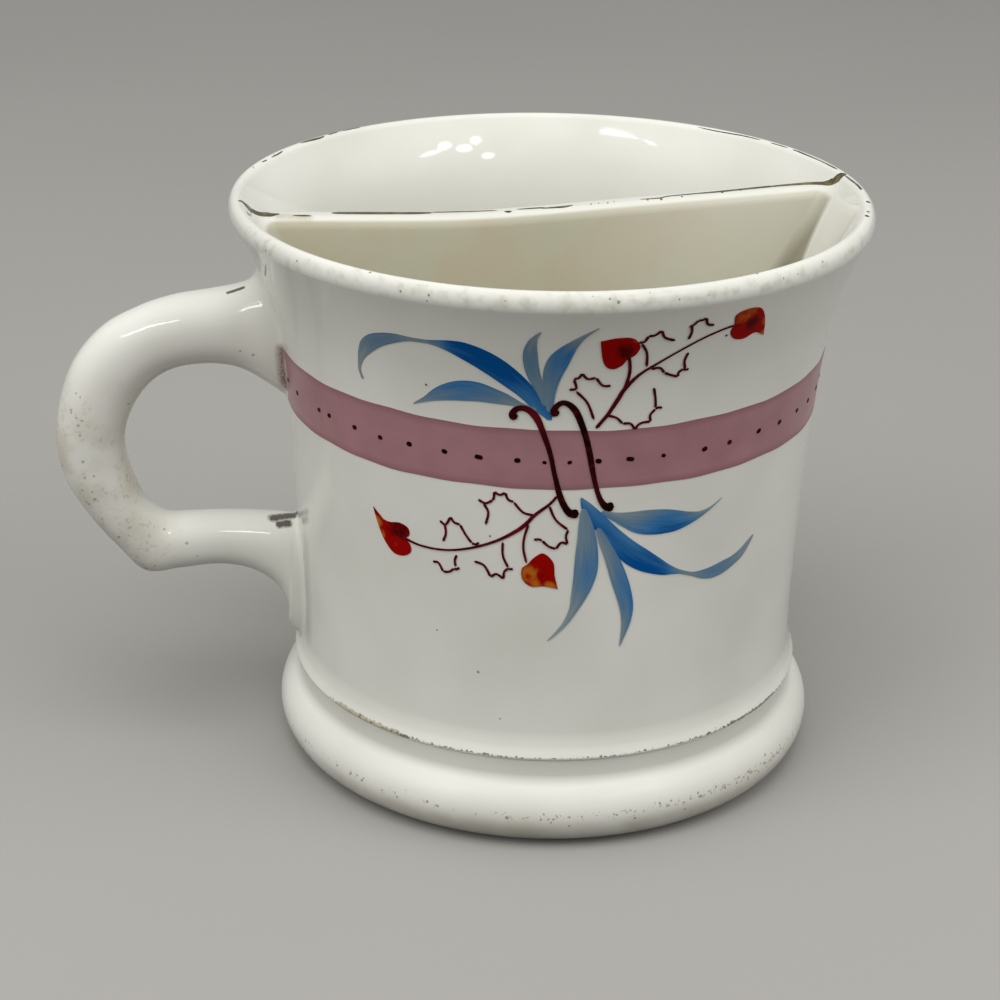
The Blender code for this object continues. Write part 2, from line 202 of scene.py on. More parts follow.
# Thorny leaf outlines: a corner, then a hollow and the next corner by turns
THORNY_LINES = [
    [(5.0, 81.1), (5.7, 81.2), (6.1, 82.1), (6.9, 82.15), (7.6, 82.85), (8.3, 81.6), (9.8, 80.9)],
    [(5.4, 80.9), (6.3, 79.3), (6.65, 76.9)],
    [(11.2, 82.9), (11.8, 83.3), (12.2, 83.9), (12.7, 83.85), (13.2, 84.1), (13.7, 83.0), (14.7, 82.65)],
    [(11.6, 80.8), (11.75, 82.0), (11.5, 83.1)],
    [(7.3, 76.5), (8.5, 76.55), (9.3, 75.65), (10.3, 75.15), (11.4, 74.75), (11.35, 75.4), (11.9, 75.9),
     (12.2, 75.75), (12.8, 75.75)],
    [(12.2, 75.9), (11.85, 77.2), (12.1, 78.6)],
    [(2.1, 69.45), (3.3, 69.05), (4.3, 68.05), (5.4, 67.95), (6.1, 67.0), (6.8, 67.85), (8.3, 68.0),
     (8.15, 69.0), (8.8, 69.9), (9.2, 70.1), (9.8, 69.95)],
    [(8.8, 70.1), (8.6, 71.6), (8.15, 73.4)],
    [(-3.3, 73.7), (-2.4, 73.9), (-2.75, 75.45), (-2.1, 75.65), (-1.75, 76.35), (-0.95, 75.45), (0.1, 75.6),
     (1.1, 74.3), (2.2, 74.2)],
    [(-2.4, 73.5), (-0.8, 71.6), (0.3, 68.8)],
    [(-15.8, 55.6), (-14.7, 55.15), (-13.6, 55.75), (-13.45, 56.3), (-13.4, 57.1), (-12.6, 56.7),
     (-11.8, 57.1), (-11.4, 56.1), (-10.6, 55.75), (-9.2, 54.2), (-7.6, 53.8)],
    [(-15.0, 55.1), (-14.3, 53.8), (-14.7, 51.7)],
    [(-21.8, 51.25), (-20.9, 50.8), (-20.05, 52.15), (-19.5, 51.4), (-18.6, 51.2), (-17.8, 49.8),
     (-16.8, 48.5), (-16.2, 48.4), (-15.7, 48.75)],
    [(-21.0, 50.8), (-20.85, 49.4), (-21.35, 48.0)],
    [(-23.1, 44.4), (-22.2, 44.4), (-21.4, 43.1), (-20.4, 43.3), (-19.7, 43.9), (-19.2, 43.9),
     (-18.8, 44.25)],
    [(-19.4, 44.3), (-19.5, 45.3), (-19.2, 46.2)],
    [(-16.5, 45.65), (-15.0, 45.2), (-13.95, 43.45), (-13.1, 44.0), (-12.0, 43.35), (-11.9, 44.5),
     (-11.3, 45.1), (-11.0, 45.0), (-10.6, 45.1)],
    [(-11.3, 45.2), (-12.1, 47.0), (-12.15, 49.3)],
    [(-5.5, 55.4), (-4.5, 53.2), (-2.65, 51.6), (-2.95, 50.6), (-2.7, 49.35), (-3.6, 49.6), (-4.35, 48.6),
     (-5.4, 48.95), (-6.4, 49.85), (-6.9, 50.05), (-7.6, 49.95)],
]
THORN_HALF_WIDTH = 0.17
THORN_END_HALF_WIDTH = 0.21

# Heart buds: the two sides of each, tip to notch and notch to tip, then dabs on its red ground as place,
# reach and tone, from 0 for dark crimson over 0.5 for red to 1 for orange
HEART_BUDS = [
    ([(0.2, 81.6), (2.4, 82.05), (4.3, 81.8), (5.3, 80.4), (4.9, 79.1), (3.9, 78.4)],
     [(3.9, 78.4), (3.3, 77.4), (2.2, 76.9), (1.2, 77.4), (0.6, 79.0), (0.2, 81.6)],
     [(3.4, 79.8, 1.5, 0.05), (4.6, 81.6, 0.8, 0.68), (2.8, 82.3, 0.7, 0.75), (1.8, 78.6, 1.6, 0.4)]),
    ([(23.9, 78.9), (22.9, 81.8), (21.4, 83.9), (19.4, 84.4), (17.6, 83.7), (17.9, 82.0)],
     [(17.9, 82.0), (17.7, 80.8), (18.6, 79.6), (20.3, 79.2), (22.0, 79.8), (23.9, 78.9)],
     [(19.4, 83.4, 2.6, 0.76), (21.9, 83.2, 1.8, 0.5), (23.4, 81.6, 1.3, 0.95), (20.7, 81.7, 1.5, 0.05),
      (19.2, 80.3, 1.5, 0.42), (23.6, 79.4, 0.9, 0.85)]),
    ([(-33.7, 50.6), (-32.6, 49.4), (-30.8, 48.95), (-28.7, 49.3), (-27.2, 48.8), (-27.1, 47.6),
      (-28.2, 47.0)],
     [(-28.2, 47.0), (-27.0, 46.3), (-26.9, 45.0), (-28.4, 44.05), (-30.2, 44.2), (-31.9, 46.0),
      (-33.0, 48.4), (-33.7, 50.6)],
     [(-28.8, 48.2, 2.6, 0.08), (-29.0, 45.4, 1.9, 0.55), (-33.0, 48.4, 1.3, 0.95),
      (-32.2, 46.6, 1.1, 0.85), (-33.5, 50.2, 0.8, 0.2)]),
    ([(-3.9, 42.1), (-4.4, 44.2), (-4.7, 46.4), (-6.2, 47.8), (-7.6, 47.0), (-8.4, 46.0)],
     [(-8.4, 46.0), (-9.3, 45.2), (-9.2, 43.5), (-7.9, 42.4), (-6.0, 42.5), (-3.9, 42.1)],
     [(-8.2, 44.4, 2.0, 0.95), (-8.3, 44.0, 0.7, 0.6), (-7.2, 42.9, 1.1, 0.9), (-5.0, 42.4, 1.4, 0.95),
      (-6.3, 44.3, 0.9, 0.32), (-5.6, 46.2, 1.2, 0.5)]),
]

# Tone of a bud's ground, in the same measure
BUD_GROUND = 0.45

# How high each paint lies over the glaze, in coats, and how much higher each next leaf lies
BAND_LIFT = 1.2
LEAF_LIFT = 1.3
LEAF_STEP = 0.12
BUD_LIFT = 1.9
DOT_LIFT = 2.4
THORN_LIFT = 2.6
STEM_LIFT = 2.8
BAR_LIFT = 3.4

# How far the band's edges sway, as the brush did, and the share of its half width that is darker
BAND_SWAY = 0.12 * MM
BAND_EDGE = 1 / 6

# How far a dot strays up or down, and how far its ends tilt, in millimetres
DOT_STRAY = 0.12
DOT_TILT = 0.15

# Dots along the band: way along, half height and half width of those on the front, then an even pitch
# round to the handle
DOTS = [(-45.1, 0.32, 0.4), (-42.3, 0.32, 0.42), (-36.4, 0.34, 0.44), (-31.4, 0.34, 0.42),
        (-26.3, 0.36, 0.46), (-20.7, 0.34, 0.44), (-15.6, 0.34, 0.62), (-10.1, 0.36, 0.46),
        (-6.3, 0.24, 0.3), (-2.8, 0.26, 0.32), (1.25, 0.36, 0.46), (5.8, 0.32, 0.6), (10.8, 0.26, 0.34),
        (17.5, 0.36, 0.46), (22.0, 0.34, 0.42), (28.0, 0.34, 0.46), (33.2, 0.34, 0.42), (38.7, 0.32, 0.4),
        (43.5, 0.32, 0.4)]
DOT_PITCH = 5.3
DOT_HEIGHT = 62.3

# Stray drops of the dark paint: way along, height and half width
DROPS = [(-22.8, 72.5, 0.14), (17.2, 80.4, 0.16), (-14.05, 50.0, 0.12)]

# Windows that the glaze mirrors: degrees round from the front and up to the middles of their left and right
# sides, and their height in metres. The second list is of those that only the handle mirrors
WINDOWS = [(56.0, 34.4, 45.6, 37.5, 0.032), (47.8, 38.6, 41.2, 39.8, 0.068),
           (38.6, 38.8, 31.2, 39.6, 0.068), (32.6, 42.0, 27.0, 42.5, 0.068),
           (26.5, 36.9, 20.2, 37.3, 0.056), (-29.9, 44.4, -48.7, 41.4, 0.018),
           (-50.4, 40.8, -56.7, 38.0, 0.022)]
HANDLE_WINDOWS = [(-18.0, 33.0, -50.0, 36.0, 0.12), (-2.0, 40.0, 6.0, 40.0, 0.16)]
WINDOW_DISTANCE = 1.47

# Spots in the glaze, in millimetres from the mug's axis: place, far end if it is a streak, and reach
WALL_PITS = [((-20.4, -33.6, 33.2), 0.26), ((-14.6, -36.3, 27.5), 0.36), ((-11.4, -37.4, 20.2), 0.24),
             ((-43.7, -18.4, 83.5), 0.36), ((-43.6, -16.8, 82.2), 0.4), ((-43.5, -14.8, 80.8), 0.34)]
LIP_SPECKS = [
    ((-43.4, -21.6, 87.3), 0.3), ((-39.2, -28.2, 87.9), 0.32), ((-29.8, -36.9, 88.9), 0.32),
    ((-26.0, -40.7, 87.5), 0.3), ((-22.4, -42.7, 87.6), 0.36), ((-22.7, -42.7, 86.7), 0.32),
    ((-15.7, -45.4, 87.7), 0.24), ((-12.7, -46.3, 87.8), 0.3), ((-1.3, -47.5, 88.5), 0.3),
    ((0.9, -47.7, 88.2), 0.32), ((2.0, -47.8, 87.8), 0.44), ((6.3, -46.9, 88.6), 0.3),
    ((7.4, -46.9, 88.3), 0.3), ((10.3, -46.7, 87.6), 0.3), ((14.5, -45.5, 87.7), 0.24),
    ((18.8, -43.8, 87.8), 0.24), ((21.9, -41.0, 89.0), 0.4), ((25.7, -39.9, 87.9), 0.44),
    ((28.1, -38.3, 87.9), 0.32), ((30.6, -36.1, 88.1), 0.32), ((32.4, -34.4, 88.2), 0.48),
    ((41.0, -0.3, 78.5), 0.32),
]
FOOT_SPECKS = [
    ((-34.8, -24.6, 6.0), 0.32), ((-33.0, -27.0, 5.8), 0.29), ((-31.3, -29.0, 5.8), 0.32),
    ((-28.4, -31.8, 5.6), 0.32), ((-26.3, -33.6, 5.4), 0.32), ((-22.0, -36.5, 6.1), 0.44),
    ((-20.5, -37.4, 5.8), 0.32), ((-10.6, -41.3, 5.7), 0.48), ((-5.7, -42.3, 5.7), 0.32),
    ((-4.2, -42.4, 5.2), 0.29), ((-1.5, -42.6, 4.6), 0.32), ((5.6, -42.3, 5.9), 0.32),
    ((8.4, -41.8, 4.9), 0.32), ((12.3, -40.7, 6.6), 0.36), ((14.1, -40.1, 6.6), 0.29),
    ((16.4, -39.3, 4.5), 0.32), ((18.5, -38.3, 6.6), 0.36), ((21.6, -36.7, 6.5), 0.36),
    ((27.3, -32.6, 6.4), 0.4), ((30.7, -29.2, 7.2), 0.36), ((33.9, -25.7, 6.8), 0.32),
]
HANDLE_DIRT = [
    # Scratch by the upper root
    ((-49.0, -1.9, 74.6), (-46.8, -1.6, 75.2), 0.55),
    # Old dirt caught over the lower root
    ((-43.2, -1.5, 37.4), (-39.8, -0.3, 37.2), 1.4), ((-42.3, -2.6, 36.7), (-41.0, -2.3, 36.7), 1.1),
]
HANDLE_SPECKS = [
    ((-72.1, -4.0, 60.0), 0.27), ((-71.5, -4.4, 59.5), 0.27), ((-73.0, -4.0, 57.3), 0.36),
    ((-73.0, -4.0, 56.9), 0.36), ((-72.3, -4.5, 56.2), 0.32), ((-71.4, -4.7, 55.8), 0.32),
    ((-72.1, -4.6, 55.0), 0.45), ((-71.9, -4.7, 53.4), 0.36), ((-71.7, -4.7, 49.1), 0.45),
    ((-70.2, -4.7, 46.7), 0.32), ((-71.6, -4.6, 46.4), 0.36), ((-72.1, -4.1, 44.2), 0.32),
    ((-70.6, -4.6, 44.0), 0.32), ((-70.3, -4.5, 42.8), 0.45), ((-71.2, -3.9, 41.8), 0.36),
    ((-69.4, -4.1, 39.3), 0.32), ((-67.0, -4.1, 36.1), 0.45), ((-60.1, -3.4, 36.9), 0.36),
    ((-56.7, -4.3, 34.8), 0.45), ((-64.5, -3.4, 57.8), 0.36), ((-63.4, -3.1, 30.2), 0.54),
    ((-63.1, -3.2, 30.1), 0.45), ((-61.8, -3.9, 30.9), 0.32), ((-55.2, -4.3, 32.5), 0.32),
    ((-47.5, -5.1, 66.5), 0.32), ((-45.6, -5.4, 65.9), 0.45),
]

# Band paint that ran on to the handle's root, darkened there as painted shade, in millimetres from the axis:
# its two ends and its reach
BAND_RUN_AND_SHADE = [((-41.3, -6.5, 67.0), (-41.0, -5.4, 60.5), 1.4)]

# Painted shade on the wall beside the handle's lower root, and brown smears on the divider's left end
ROOT_SHADE = [((-38.3, -7.6, 35.5), (-38.3, -7.2, 21.0), 3.2)]
DIVIDER_SMEARS = [((-41.0, 0.9, 85.3), (-37.0, 0.8, 85.1), 1.5)]

# Painted shadow in the soap pocket's right corner: how its edge leans, where from the axis it starts and is
# full, and where the film is lightest
SHADOW_LEAN = -0.651
SHADOW_START = -13.9 * MM
SHADOW_END = -11.5 * MM
FILM_END = 24.0 * MM

# Painted shade inside the wall: how far under the rim it starts and is full, and half its edge's width on
# the lip
WELL_SHADE_DEPTHS = (3.0 * MM, 12.0 * MM)
WELL_SHADE_TURN = 5.0 * MM

# How far gilt lines lie over the widest place of the shoulder and the half-round, and in and down at the lip
GILT_RISE = 0.6 * MM
LIP_LINE = (0.2 * MM, 1.4 * MM)
CREST_LINE = (1.0 * MM, 0.1 * MM)

# Tan discolouring: where on the handle it starts and is full along X and downwards, and where on the foot
TAN_BOW = (-43.0 * MM, -52.0 * MM)
TAN_LOW = (64.0 * MM, 52.0 * MM)
TAN_FOOT = (5.8 * MM, 3.8 * MM)

# Heights at which the foot's glaze ends and its clay is bare
BARE_CLAY = (0.5 * MM, 0.2 * MM)

# What is left of the gilt line on the shoulder: degrees from the front, and how much is left there of its
# thin film and of its dark grains
SHOULDER_FILM = [(-66, 0.0), (-61, 0.45), (-56, 0.8), (-41, 0.8), (-37, 0.3), (-30, 0.0), (26, 0.0),
                 (30, 0.4), (36, 0.5), (40, 0.0)]
SHOULDER_GRAINS = [(-180, 0.16), (-66, 0.2), (-56, 0.34), (-38, 0.44), (-20, 0.4), (-6, 0.32), (0, 0.36),
                   (24, 0.4), (35, 0.4), (38, 0.6), (52, 0.6), (57, 0.36), (70, 0.2), (180, 0.16)]
RIM_GRAINS = [(-150, 0.0), (-138, 0.3), (-108, 0.34), (-100, 0.0), (86, 0.0), (92, 0.3), (110, 0.36),
              (150, 0.3), (162, 0.0)]
# Painted shade inside the wall, round the mug: degrees from the front and share
WELL_SHADE_ROUND = [(-180, 0.85), (-90, 0.8), (-60, 0.2), (120, 0.0), (160, 0.7), (180, 0.85)]
LIP_FILM = [(-75, 0.2), (-60, 0.36), (60, 0.36), (75, 0.2)]
FOOT_GRAINS = [(-180, 0.18), (-60, 0.26), (-20, 0.26), (20, 0.3), (40, 0.36), (60, 0.3), (80, 0.2),
               (180, 0.18)]

# Gilding left on the rim and on the divider, in millimetres of the plan: place and half width
GILDING = [
    # Wedge in the left corner and what follows it on the divider
    [(-47.1, -3.0, 0.12), (-46.0, -1.2, 0.34), (-45.2, 0.4, 0.56), (-44.2, 1.2, 0.9), (-43.2, 1.4, 1.0),
     (-42.3, 1.3, 0.7), (-41.0, 1.7, 0.16)],
    [(-39.1, 1.0, 0.08), (-37.6, 1.1, 0.2), (-36.3, 1.1, 0.08)],
    [(-33.3, 2.55, 0.2), (-32.0, 2.65, 0.46), (-27.4, 2.95, 0.56), (-22.9, 3.25, 0.5), (-21.1, 3.35, 0.5),
     (-18.0, 3.65, 0.3)],
    [(-18.1, 3.9, 0.18), (-13.8, 4.1, 0.2), (-8.2, 4.2, 0.16)],
    [(-7.2, 3.5, 0.05), (-6.6, 3.4, 0.3), (-6.0, 3.5, 0.05)],
    [(-5.1, 4.2, 0.1), (-3.2, 4.3, 0.22), (-0.9, 4.3, 0.24)],
    [(-1.5, 4.0, 0.1), (0.7, 4.1, 0.25), (2.2, 4.2, 0.3), (3.5, 4.6, 0.08)],
    [(13.9, 5.2, 0.08), (17.0, 5.3, 0.16), (18.3, 5.9, 0.16), (23.4, 6.4, 0.22), (25.3, 6.5, 0.32),
     (29.7, 7.0, 0.34), (35.4, 7.7, 0.42)],
    # Right end of the divider up to the rim
    [(32.9, 7.3, 0.18), (36.2, 7.7, 0.36), (39.4, 7.9, 0.5), (41.3, 7.85, 0.66), (43.0, 7.4, 0.75),
     (44.4, 6.4, 0.75), (45.3, 5.8, 0.75), (45.9, 6.0, 0.6)],
    # Crest of the rim, right and left
    [(28.6, 36.0, 0.05), (34.5, 30.3, 0.09), (37.2, 27.0, 0.06)],
    [(38.4, 25.2, 0.05), (39.6, 23.3, 0.08), (40.4, 21.9, 0.05)],
    [(41.0, 20.7, 0.06), (41.8, 19.1, 0.12), (43.8, 13.8, 0.08), (45.3, 8.4, 0.14)],
    [(45.6, 5.3, 0.1), (46.1, -0.4, 0.16), (46.1, -3.0, 0.2)],
    [(-43.3, 18.3, 0.08), (-42.5, 19.8, 0.1)],
    [(-41.8, 21.2, 0.06), (-40.8, 23.0, 0.1), (-39.9, 24.7, 0.06)],
    [(-37.0, 29.2, 0.08), (-35.2, 31.1, 0.2), (-33.7, 32.6, 0.16), (-33.0, 33.4, 0.06)],
    [(-32.4, 34.1, 0.1), (-30.7, 35.9, 0.12)],
    [(-29.9, 36.5, 0.08), (-27.0, 38.6, 0.08)],
]

# Loose grains of that gilding: place on the plan and half width
GILT_GRAINS = [(6.2, 4.5, 0.14), (7.4, 4.6, 0.1), (8.8, 4.6, 0.14), (9.8, 4.9, 0.1), (15.0, 4.9, 0.16),
               (17.1, 4.9, 0.2), (20.4, 5.4, 0.16), (26.8, 6.1, 0.2), (29.7, 6.6, 0.16), (45.5, -9.2, 0.35),
               (44.2, -14.1, 0.25), (43.5, -16.1, 0.35)]


def linear(code):
    """An sRGB hex colour as the linear values that Blender's sockets hold."""
    shares = [int(code[i:i + 2], 16) / 255 for i in (1, 3, 5)]
    return [c / 12.92 if c <= 0.04045 else ((c + 0.055) / 1.055) ** 2.4 for c in shares]


def length(name, description, default):
    """A property for one size in metres."""
    return FloatProperty(name=name, description=description, default=default, min=0.0, unit="LENGTH",
                         precision=5)


def angle(name, description, degrees):
    """A property for one angle."""
    return FloatProperty(name=name, description=description, default=math.radians(degrees), subtype="ANGLE")


def colour(name, description, code):
    """A property for one colour, given as sRGB hex."""
    return FloatVectorProperty(name=name, description=description, default=linear(code), size=3,
                               min=0.0, max=1.0, subtype="COLOR")


class MugSizes(bpy.types.PropertyGroup):
    """Radii, heights and thicknesses of the fired clay."""
    height: length("Height", "Table to the top of the lip", WALL_HIGH.z)
    rim_radius: length("Rim radius", "Axis to the outside of the lip", (WALL_HIGH.y - WALL_LOW.y) / 2)
    wall: length("Wall", "Thickness of the wall", 3.4 * MM)
    lip: length("Lip", "Thickness of the round lip", 2.6 * MM)
    lip_fall: length("Lip fall", "Depth of the lip's widest ring below its crest", 1.8 * MM)
    lip_lean: angle("Lip lean", "How far the flare leans out where it meets the lip", 28.1)
    flare_radius: length("Flare radius", "Outside radius of the flare", 43.5 * MM)
    flare_drop: length("Flare drop", "Depth of that radius below the rim", 13.0 * MM)
    band_radius: length("Band radius", "Outside radius at the pink band", 41.5 * MM)
    band_drop: length("Band drop", "Depth of that radius below the rim", 22.5 * MM)
    belly_radius: length("Belly radius", "Outside radius half way up", 39.9 * MM)
    belly_height: length("Belly height", "Height of that radius", 47.0 * MM)
    waist_radius: length("Waist radius", "Narrowest outside radius", 39.1 * MM)
    waist_height: length("Waist height", "Height of that radius", 27.0 * MM)
    skirt: length("Skirt", "Height of the flare over the shoulder", 4.4 * MM)
    shoulder_radius: length("Shoulder radius", "Radius of the edge over the foot", 40.2 * MM)
    shoulder_height: length("Shoulder height", "Height of that edge", WALL_LOW.z)
    shoulder_edge: length("Shoulder edge", "Rounding of that edge", 0.6 * MM)
    neck_radius: length("Neck radius", "Top of the cove in the foot", 39.9 * MM)
    cove_radius: length("Cove radius", "Deepest radius of the cove", 39.6 * MM)
    foot_radius: length("Foot radius", "Outside of the half-round", (FOOT_HIGH.y - FOOT_LOW.y) / 2)
    foot_round: length("Foot round", "Radius of the half-round", 5.4 * MM)
    cove_round: length("Cove round", "Rounding between the cove and the half-round", 2.0 * MM)
    rest_width: length("Rest width", "Width of the flat that touches the table", 2.3 * MM)
    rest_chamfer: length("Rest chamfer", "Inner chamfer of that flat", 0.6 * MM)
    floor_fillet: length("Floor fillet", "Rounding inside between floor and wall", 5.0 * MM)
    strap_fillet: length("Handle fillet", "Slip worked in round the handle's roots", 0.7 * MM)
    strap_flick: length("Handle flick", "Extra slip drawn up the wall on top of the handle", 2.6 * MM)
    divider_thick: length("Divider", "Thickness of the divider", 3.6 * MM)
    divider_offset: length("Divider offset", "Divider's distance behind the axis", 4.1 * MM)
    divider_turn: angle("Divider turn", "Turn of the divider against the handle", 4.2)
    divider_fillet: length("Divider fillet", "Slip worked in between its front and the wall", 2.6 * MM)
    divider_joint: length("Divider joint", "Slip left between its back and the wall", 0.5 * MM)
    divider_front_edge: length("Divider front edge", "Rounding of its top towards the soap", 1.9 * MM)
    divider_back_edge: length("Divider back edge", "Rounding of its top towards the brush", 0.35 * MM)
    rim_pull: length("Rim pull", "How far the firing drew the rim towards the handle", 0.6 * MM)
    rim_drop: length("Rim drop", "How far the firing let the back of the rim down", 0.45 * MM)
    shelf_edge: length("Shelf edge", "Rounding of the soap shelf's edges", 0.6 * MM)
    drain_hole: length("Drain hole", "Diameter of a hole in the soap shelf", 5.0 * MM)
    drain_ring: length("Drain ring", "Radius of the ring of holes", 9.5 * MM)
    drain_setback: length("Drain setback", "Middle hole's distance from the divider", 15.0 * MM)
    stripe_top: length("Band top", "Upper edge of the painted band", 67.2 * MM)
    stripe_bottom: length("Band bottom", "Lower edge of the painted band", 57.9 * MM)
    coat: length("Coat", "Thickness of one coat of enamel", 0.05 * MM)


class MugColours(bpy.types.PropertyGroup):
    """Colours of the glaze, the enamels, the gilding and the stage."""
    porcelain: colour("Porcelain", "Clear-glazed white body", "#E9E8DF")
    porcelain_shade: colour("Porcelain shade", "Greyer patches in the body", "#DEDDD3")
    # This dark colour is also the painted shade on the wall beside the handle's lower root
    grime_and_shade: colour("Grime", "Dirt in pits and scratches", "#332E20")
    well_shade: colour("Haze", "Greyer glaze where water stood", "#D0CFC4")
    speck: colour("Speck", "Brown specks in the handle's glaze", "#7D735A")
    tan: colour("Tan", "Beige discolouring low on the foot", "#B9AE97")
    soap_stain: colour("Soap stain", "Olive beige film inside the soap pocket", "#B9B7A2")
    # Greyer colour painted as shade inside the well, deeper down from the rim
    soap_blush: colour("Soap blush", "Warmer patches in that film", "#BAB29D")
    # Dark olive painted as a shadow in the soap pocket's right corner
    corner_shadow: colour("Soap scum", "Darker olive in the pocket's right corner", "#6E6A52")
    rose: colour("Rose", "Painted band", "#AA7C81")
    rose_edge: colour("Rose edge", "Thicker paint along the band's edges", "#94666C")
    # Partly painted shade in the crease where the band meets the handle's root
    rose_run_and_shade: colour("Rose run", "Browned band paint that ran on to the handle", "#6E3A33")
    cobalt: colour("Cobalt", "Deep blue of the leaves", "#055194")
    cobalt_wash: colour("Cobalt wash", "Half-strength blue", "#3F78AA")
    cobalt_pale: colour("Cobalt pale", "Greyer blue of a nearly dry brush", "#6C8699")
    cobalt_thin: colour("Cobalt thin", "Grey at the tips", "#98A29F")
    maroon: colour("Maroon", "Hooked bars, stems and dots", "#1A0506")
    maroon_thin: colour("Maroon thin", "Redder maroon in thinner paint", "#5E1218")
    crimson: colour("Crimson", "Dark folds of the buds", "#4C0503")
    iron_red: colour("Iron red", "Buds", "#960804")
    orange: colour("Orange", "Warm side of the buds", "#B8651A")
    maroon_line: colour("Maroon line", "Thorny outlines, drawn with a nearly dry brush", "#4A0A12")
    maroon_faint: colour("Maroon faint", "Their thinnest paint", "#7A1420")
    gilt: colour("Gilt", "What is left of the gilding", "#7A6F3E")
    gilt_film: colour("Gilt film", "Rubbed gilding that the glaze shows through", "#9A9268")
    gilt_dark: colour("Gilt dark", "Tarnished grains of it", "#4A452F")
    biscuit: colour("Biscuit", "Bare clay where it stands", "#CFC6B4")
    floor: colour("Floor", "Plain pale floor", "#A8A6A1")
    floor_bounce: colour("Floor bounce", "Darker tone of what it throws back on to the mug", "#5A5855")
    world: colour("World", "Even light from all round", "#FFFFFF")


class MugStage(bpy.types.PropertyGroup):
    """Camera, lamps and floor."""
    camera_place: FloatVectorProperty(name="Camera", description="Where the camera stands", size=3,
                                      default=(-0.03251, -0.32953, 0.18661), subtype="TRANSLATION")
    camera_right: FloatVectorProperty(name="Camera right", description="Direction to the picture's right",
                                      size=3, default=(0.99378, -0.11046, 0.0145), subtype="DIRECTION")
    camera_up: FloatVectorProperty(name="Camera up", description="Direction to the picture's top", size=3,
                                   default=(0.03188, 0.40669, 0.91301), subtype="DIRECTION")
    lens: FloatProperty(name="Lens", description="Focal length for a 36 mm wide sensor", default=82.8,
                        subtype="DISTANCE_CAMERA")
    key_place: FloatVectorProperty(name="Key lamp", description="Where the large lamp hangs", size=3,
                                   default=(-0.08, -0.3, 0.86), subtype="TRANSLATION")
    key_width: length("Key width", "Side of the large square lamp", 0.6)
    key_power: FloatProperty(name="Key power", description="Power of the large lamp", default=3.75,
                             subtype="POWER")
    side_place: FloatVectorProperty(name="Side lamps", description="Where the right one of the two stands",
                                    size=3, default=(0.65, -0.35, 0.55), subtype="TRANSLATION")
    side_width: length("Side width", "Side of each of those square lamps", 0.6)
    side_power: FloatProperty(name="Side power", description="Power of each side lamp", default=2.5,
                              subtype="POWER")
    sky_level: FloatProperty(name="Sky", description="Level of the even light from all round", default=0.45)
    window_level: FloatProperty(name="Windows", default=10.0,
                                description="Brightness of the windows that the glaze mirrors")
    window_middle: length("Window middle", "Height of the place that the windows face", 0.08)
    floor_side: length("Floor side", "Side of the square floor", 8.0)


def smooth(points, steps, rolled=False):
    """A cubic curve through points of any dimension, its slopes weighted by the chords in the plane.
    A rolled one keeps bending to its end."""
    knots = [0.0]
    for a, b in zip(points, points[1:]):
        knots.append(knots[-1] + math.dist(a[:2], b[:2]))
    last = len(points) - 1
    slopes = []
    for i in range(last + 1):
        low, high = max(i - 1, 0), min(i + 1, last)
        slopes.append([(b - a) / (knots[high] - knots[low]) for a, b in zip(points[low], points[high])])
    if rolled:
        slopes[-1] = [2 * end - before for end, before in zip(slopes[-1], slopes[-2])]
    curve = []
    for i in range(last):
        span = knots[i + 1] - knots[i]
        for step in range(steps):
            t = step / steps
            rise = t * t * (3 - 2 * t)
            leave, arrive = t * (1 - t) ** 2 * span, t * t * (t - 1) * span
            curve.append(tuple(
                a + (b - a) * rise + m * leave + n * arrive
                for a, b, m, n in zip(points[i], points[i + 1], slopes[i], slopes[i + 1])))
    curve.append(tuple(points[-1]))
    return curve


def arc(centre, radius, start, end, steps):
    """Points on a circle in the turning plane, from one angle to another."""
    angles = [start + (end - start) * i / steps for i in range(steps + 1)]
    return [(centre[0] + radius * math.cos(a), centre[1] + radius * math.sin(a)) for a in angles]


def fillet(distance, radius):
    """How far a rounded corner swells sideways at a distance from the surface that it runs into."""
    if distance >= radius:
        return 0.0
    return radius - math.sqrt(radius ** 2 - (radius - max(distance, 0.0)) ** 2)


def at(curve, place):
    """The point at a fractional place along a list of points."""
    i = min(int(place), len(curve) - 2)
    return [a + (b - a) * (place - i) for a, b in zip(curve[i], curve[i + 1])]


class Curve:
    """A value that changes along a length, as straight runs between points of value and place."""

    def __init__(self, points):
        self.values = [value for value, _ in points]
        self.places = [place for _, place in points]

    def _run(self, place):
        return min(max(bisect.bisect_left(self.places, place), 1), len(self.places) - 1)

    def slope(self, place):
        i = self._run(place)
        return (self.values[i] - self.values[i - 1]) / (self.places[i] - self.places[i - 1])

    def value(self, place):
        i = self._run(place)
        return self.values[i - 1] + self.slope(place) * (place - self.places[i - 1])


def lip_turn(size):
    """The angle below straight out at which the lip's oval leans as much as the flare."""
    return math.atan(math.tan(size.lip_lean) * size.lip_fall / (size.lip / 2))


def lip_point(size, turn):
    """A point on the lip's oval, at an angle from straight out."""
    reach, fall = size.lip / 2, size.lip_fall
    return (size.rim_radius - reach + reach * math.cos(turn), size.height - fall + fall * math.sin(turn))


def wall_stations(size):
    """Outside radii and heights of the wall from its waist to the lip."""
    return [
        (size.waist_radius, size.waist_height),
        (size.belly_radius, size.belly_height),
        (size.band_radius, size.height - size.band_drop),
        (size.flare_radius, size.height - size.flare_drop),
        lip_point(size, -lip_turn(size)),
    ]


def wall_outside(size):
    """The wall's outer curve, from the shoulder over the short skirt up to where the lip's round begins."""
    spread = size.shoulder_radius - size.waist_radius
    skirt = [(size.shoulder_radius, size.shoulder_height + size.shoulder_edge)]
    for left, rise in SKIRT_PROFILE:
        skirt.append((size.waist_radius + left * spread, size.shoulder_height + rise * size.skirt))
    return smooth(skirt + wall_stations(size), WALL_STEPS, rolled=True)


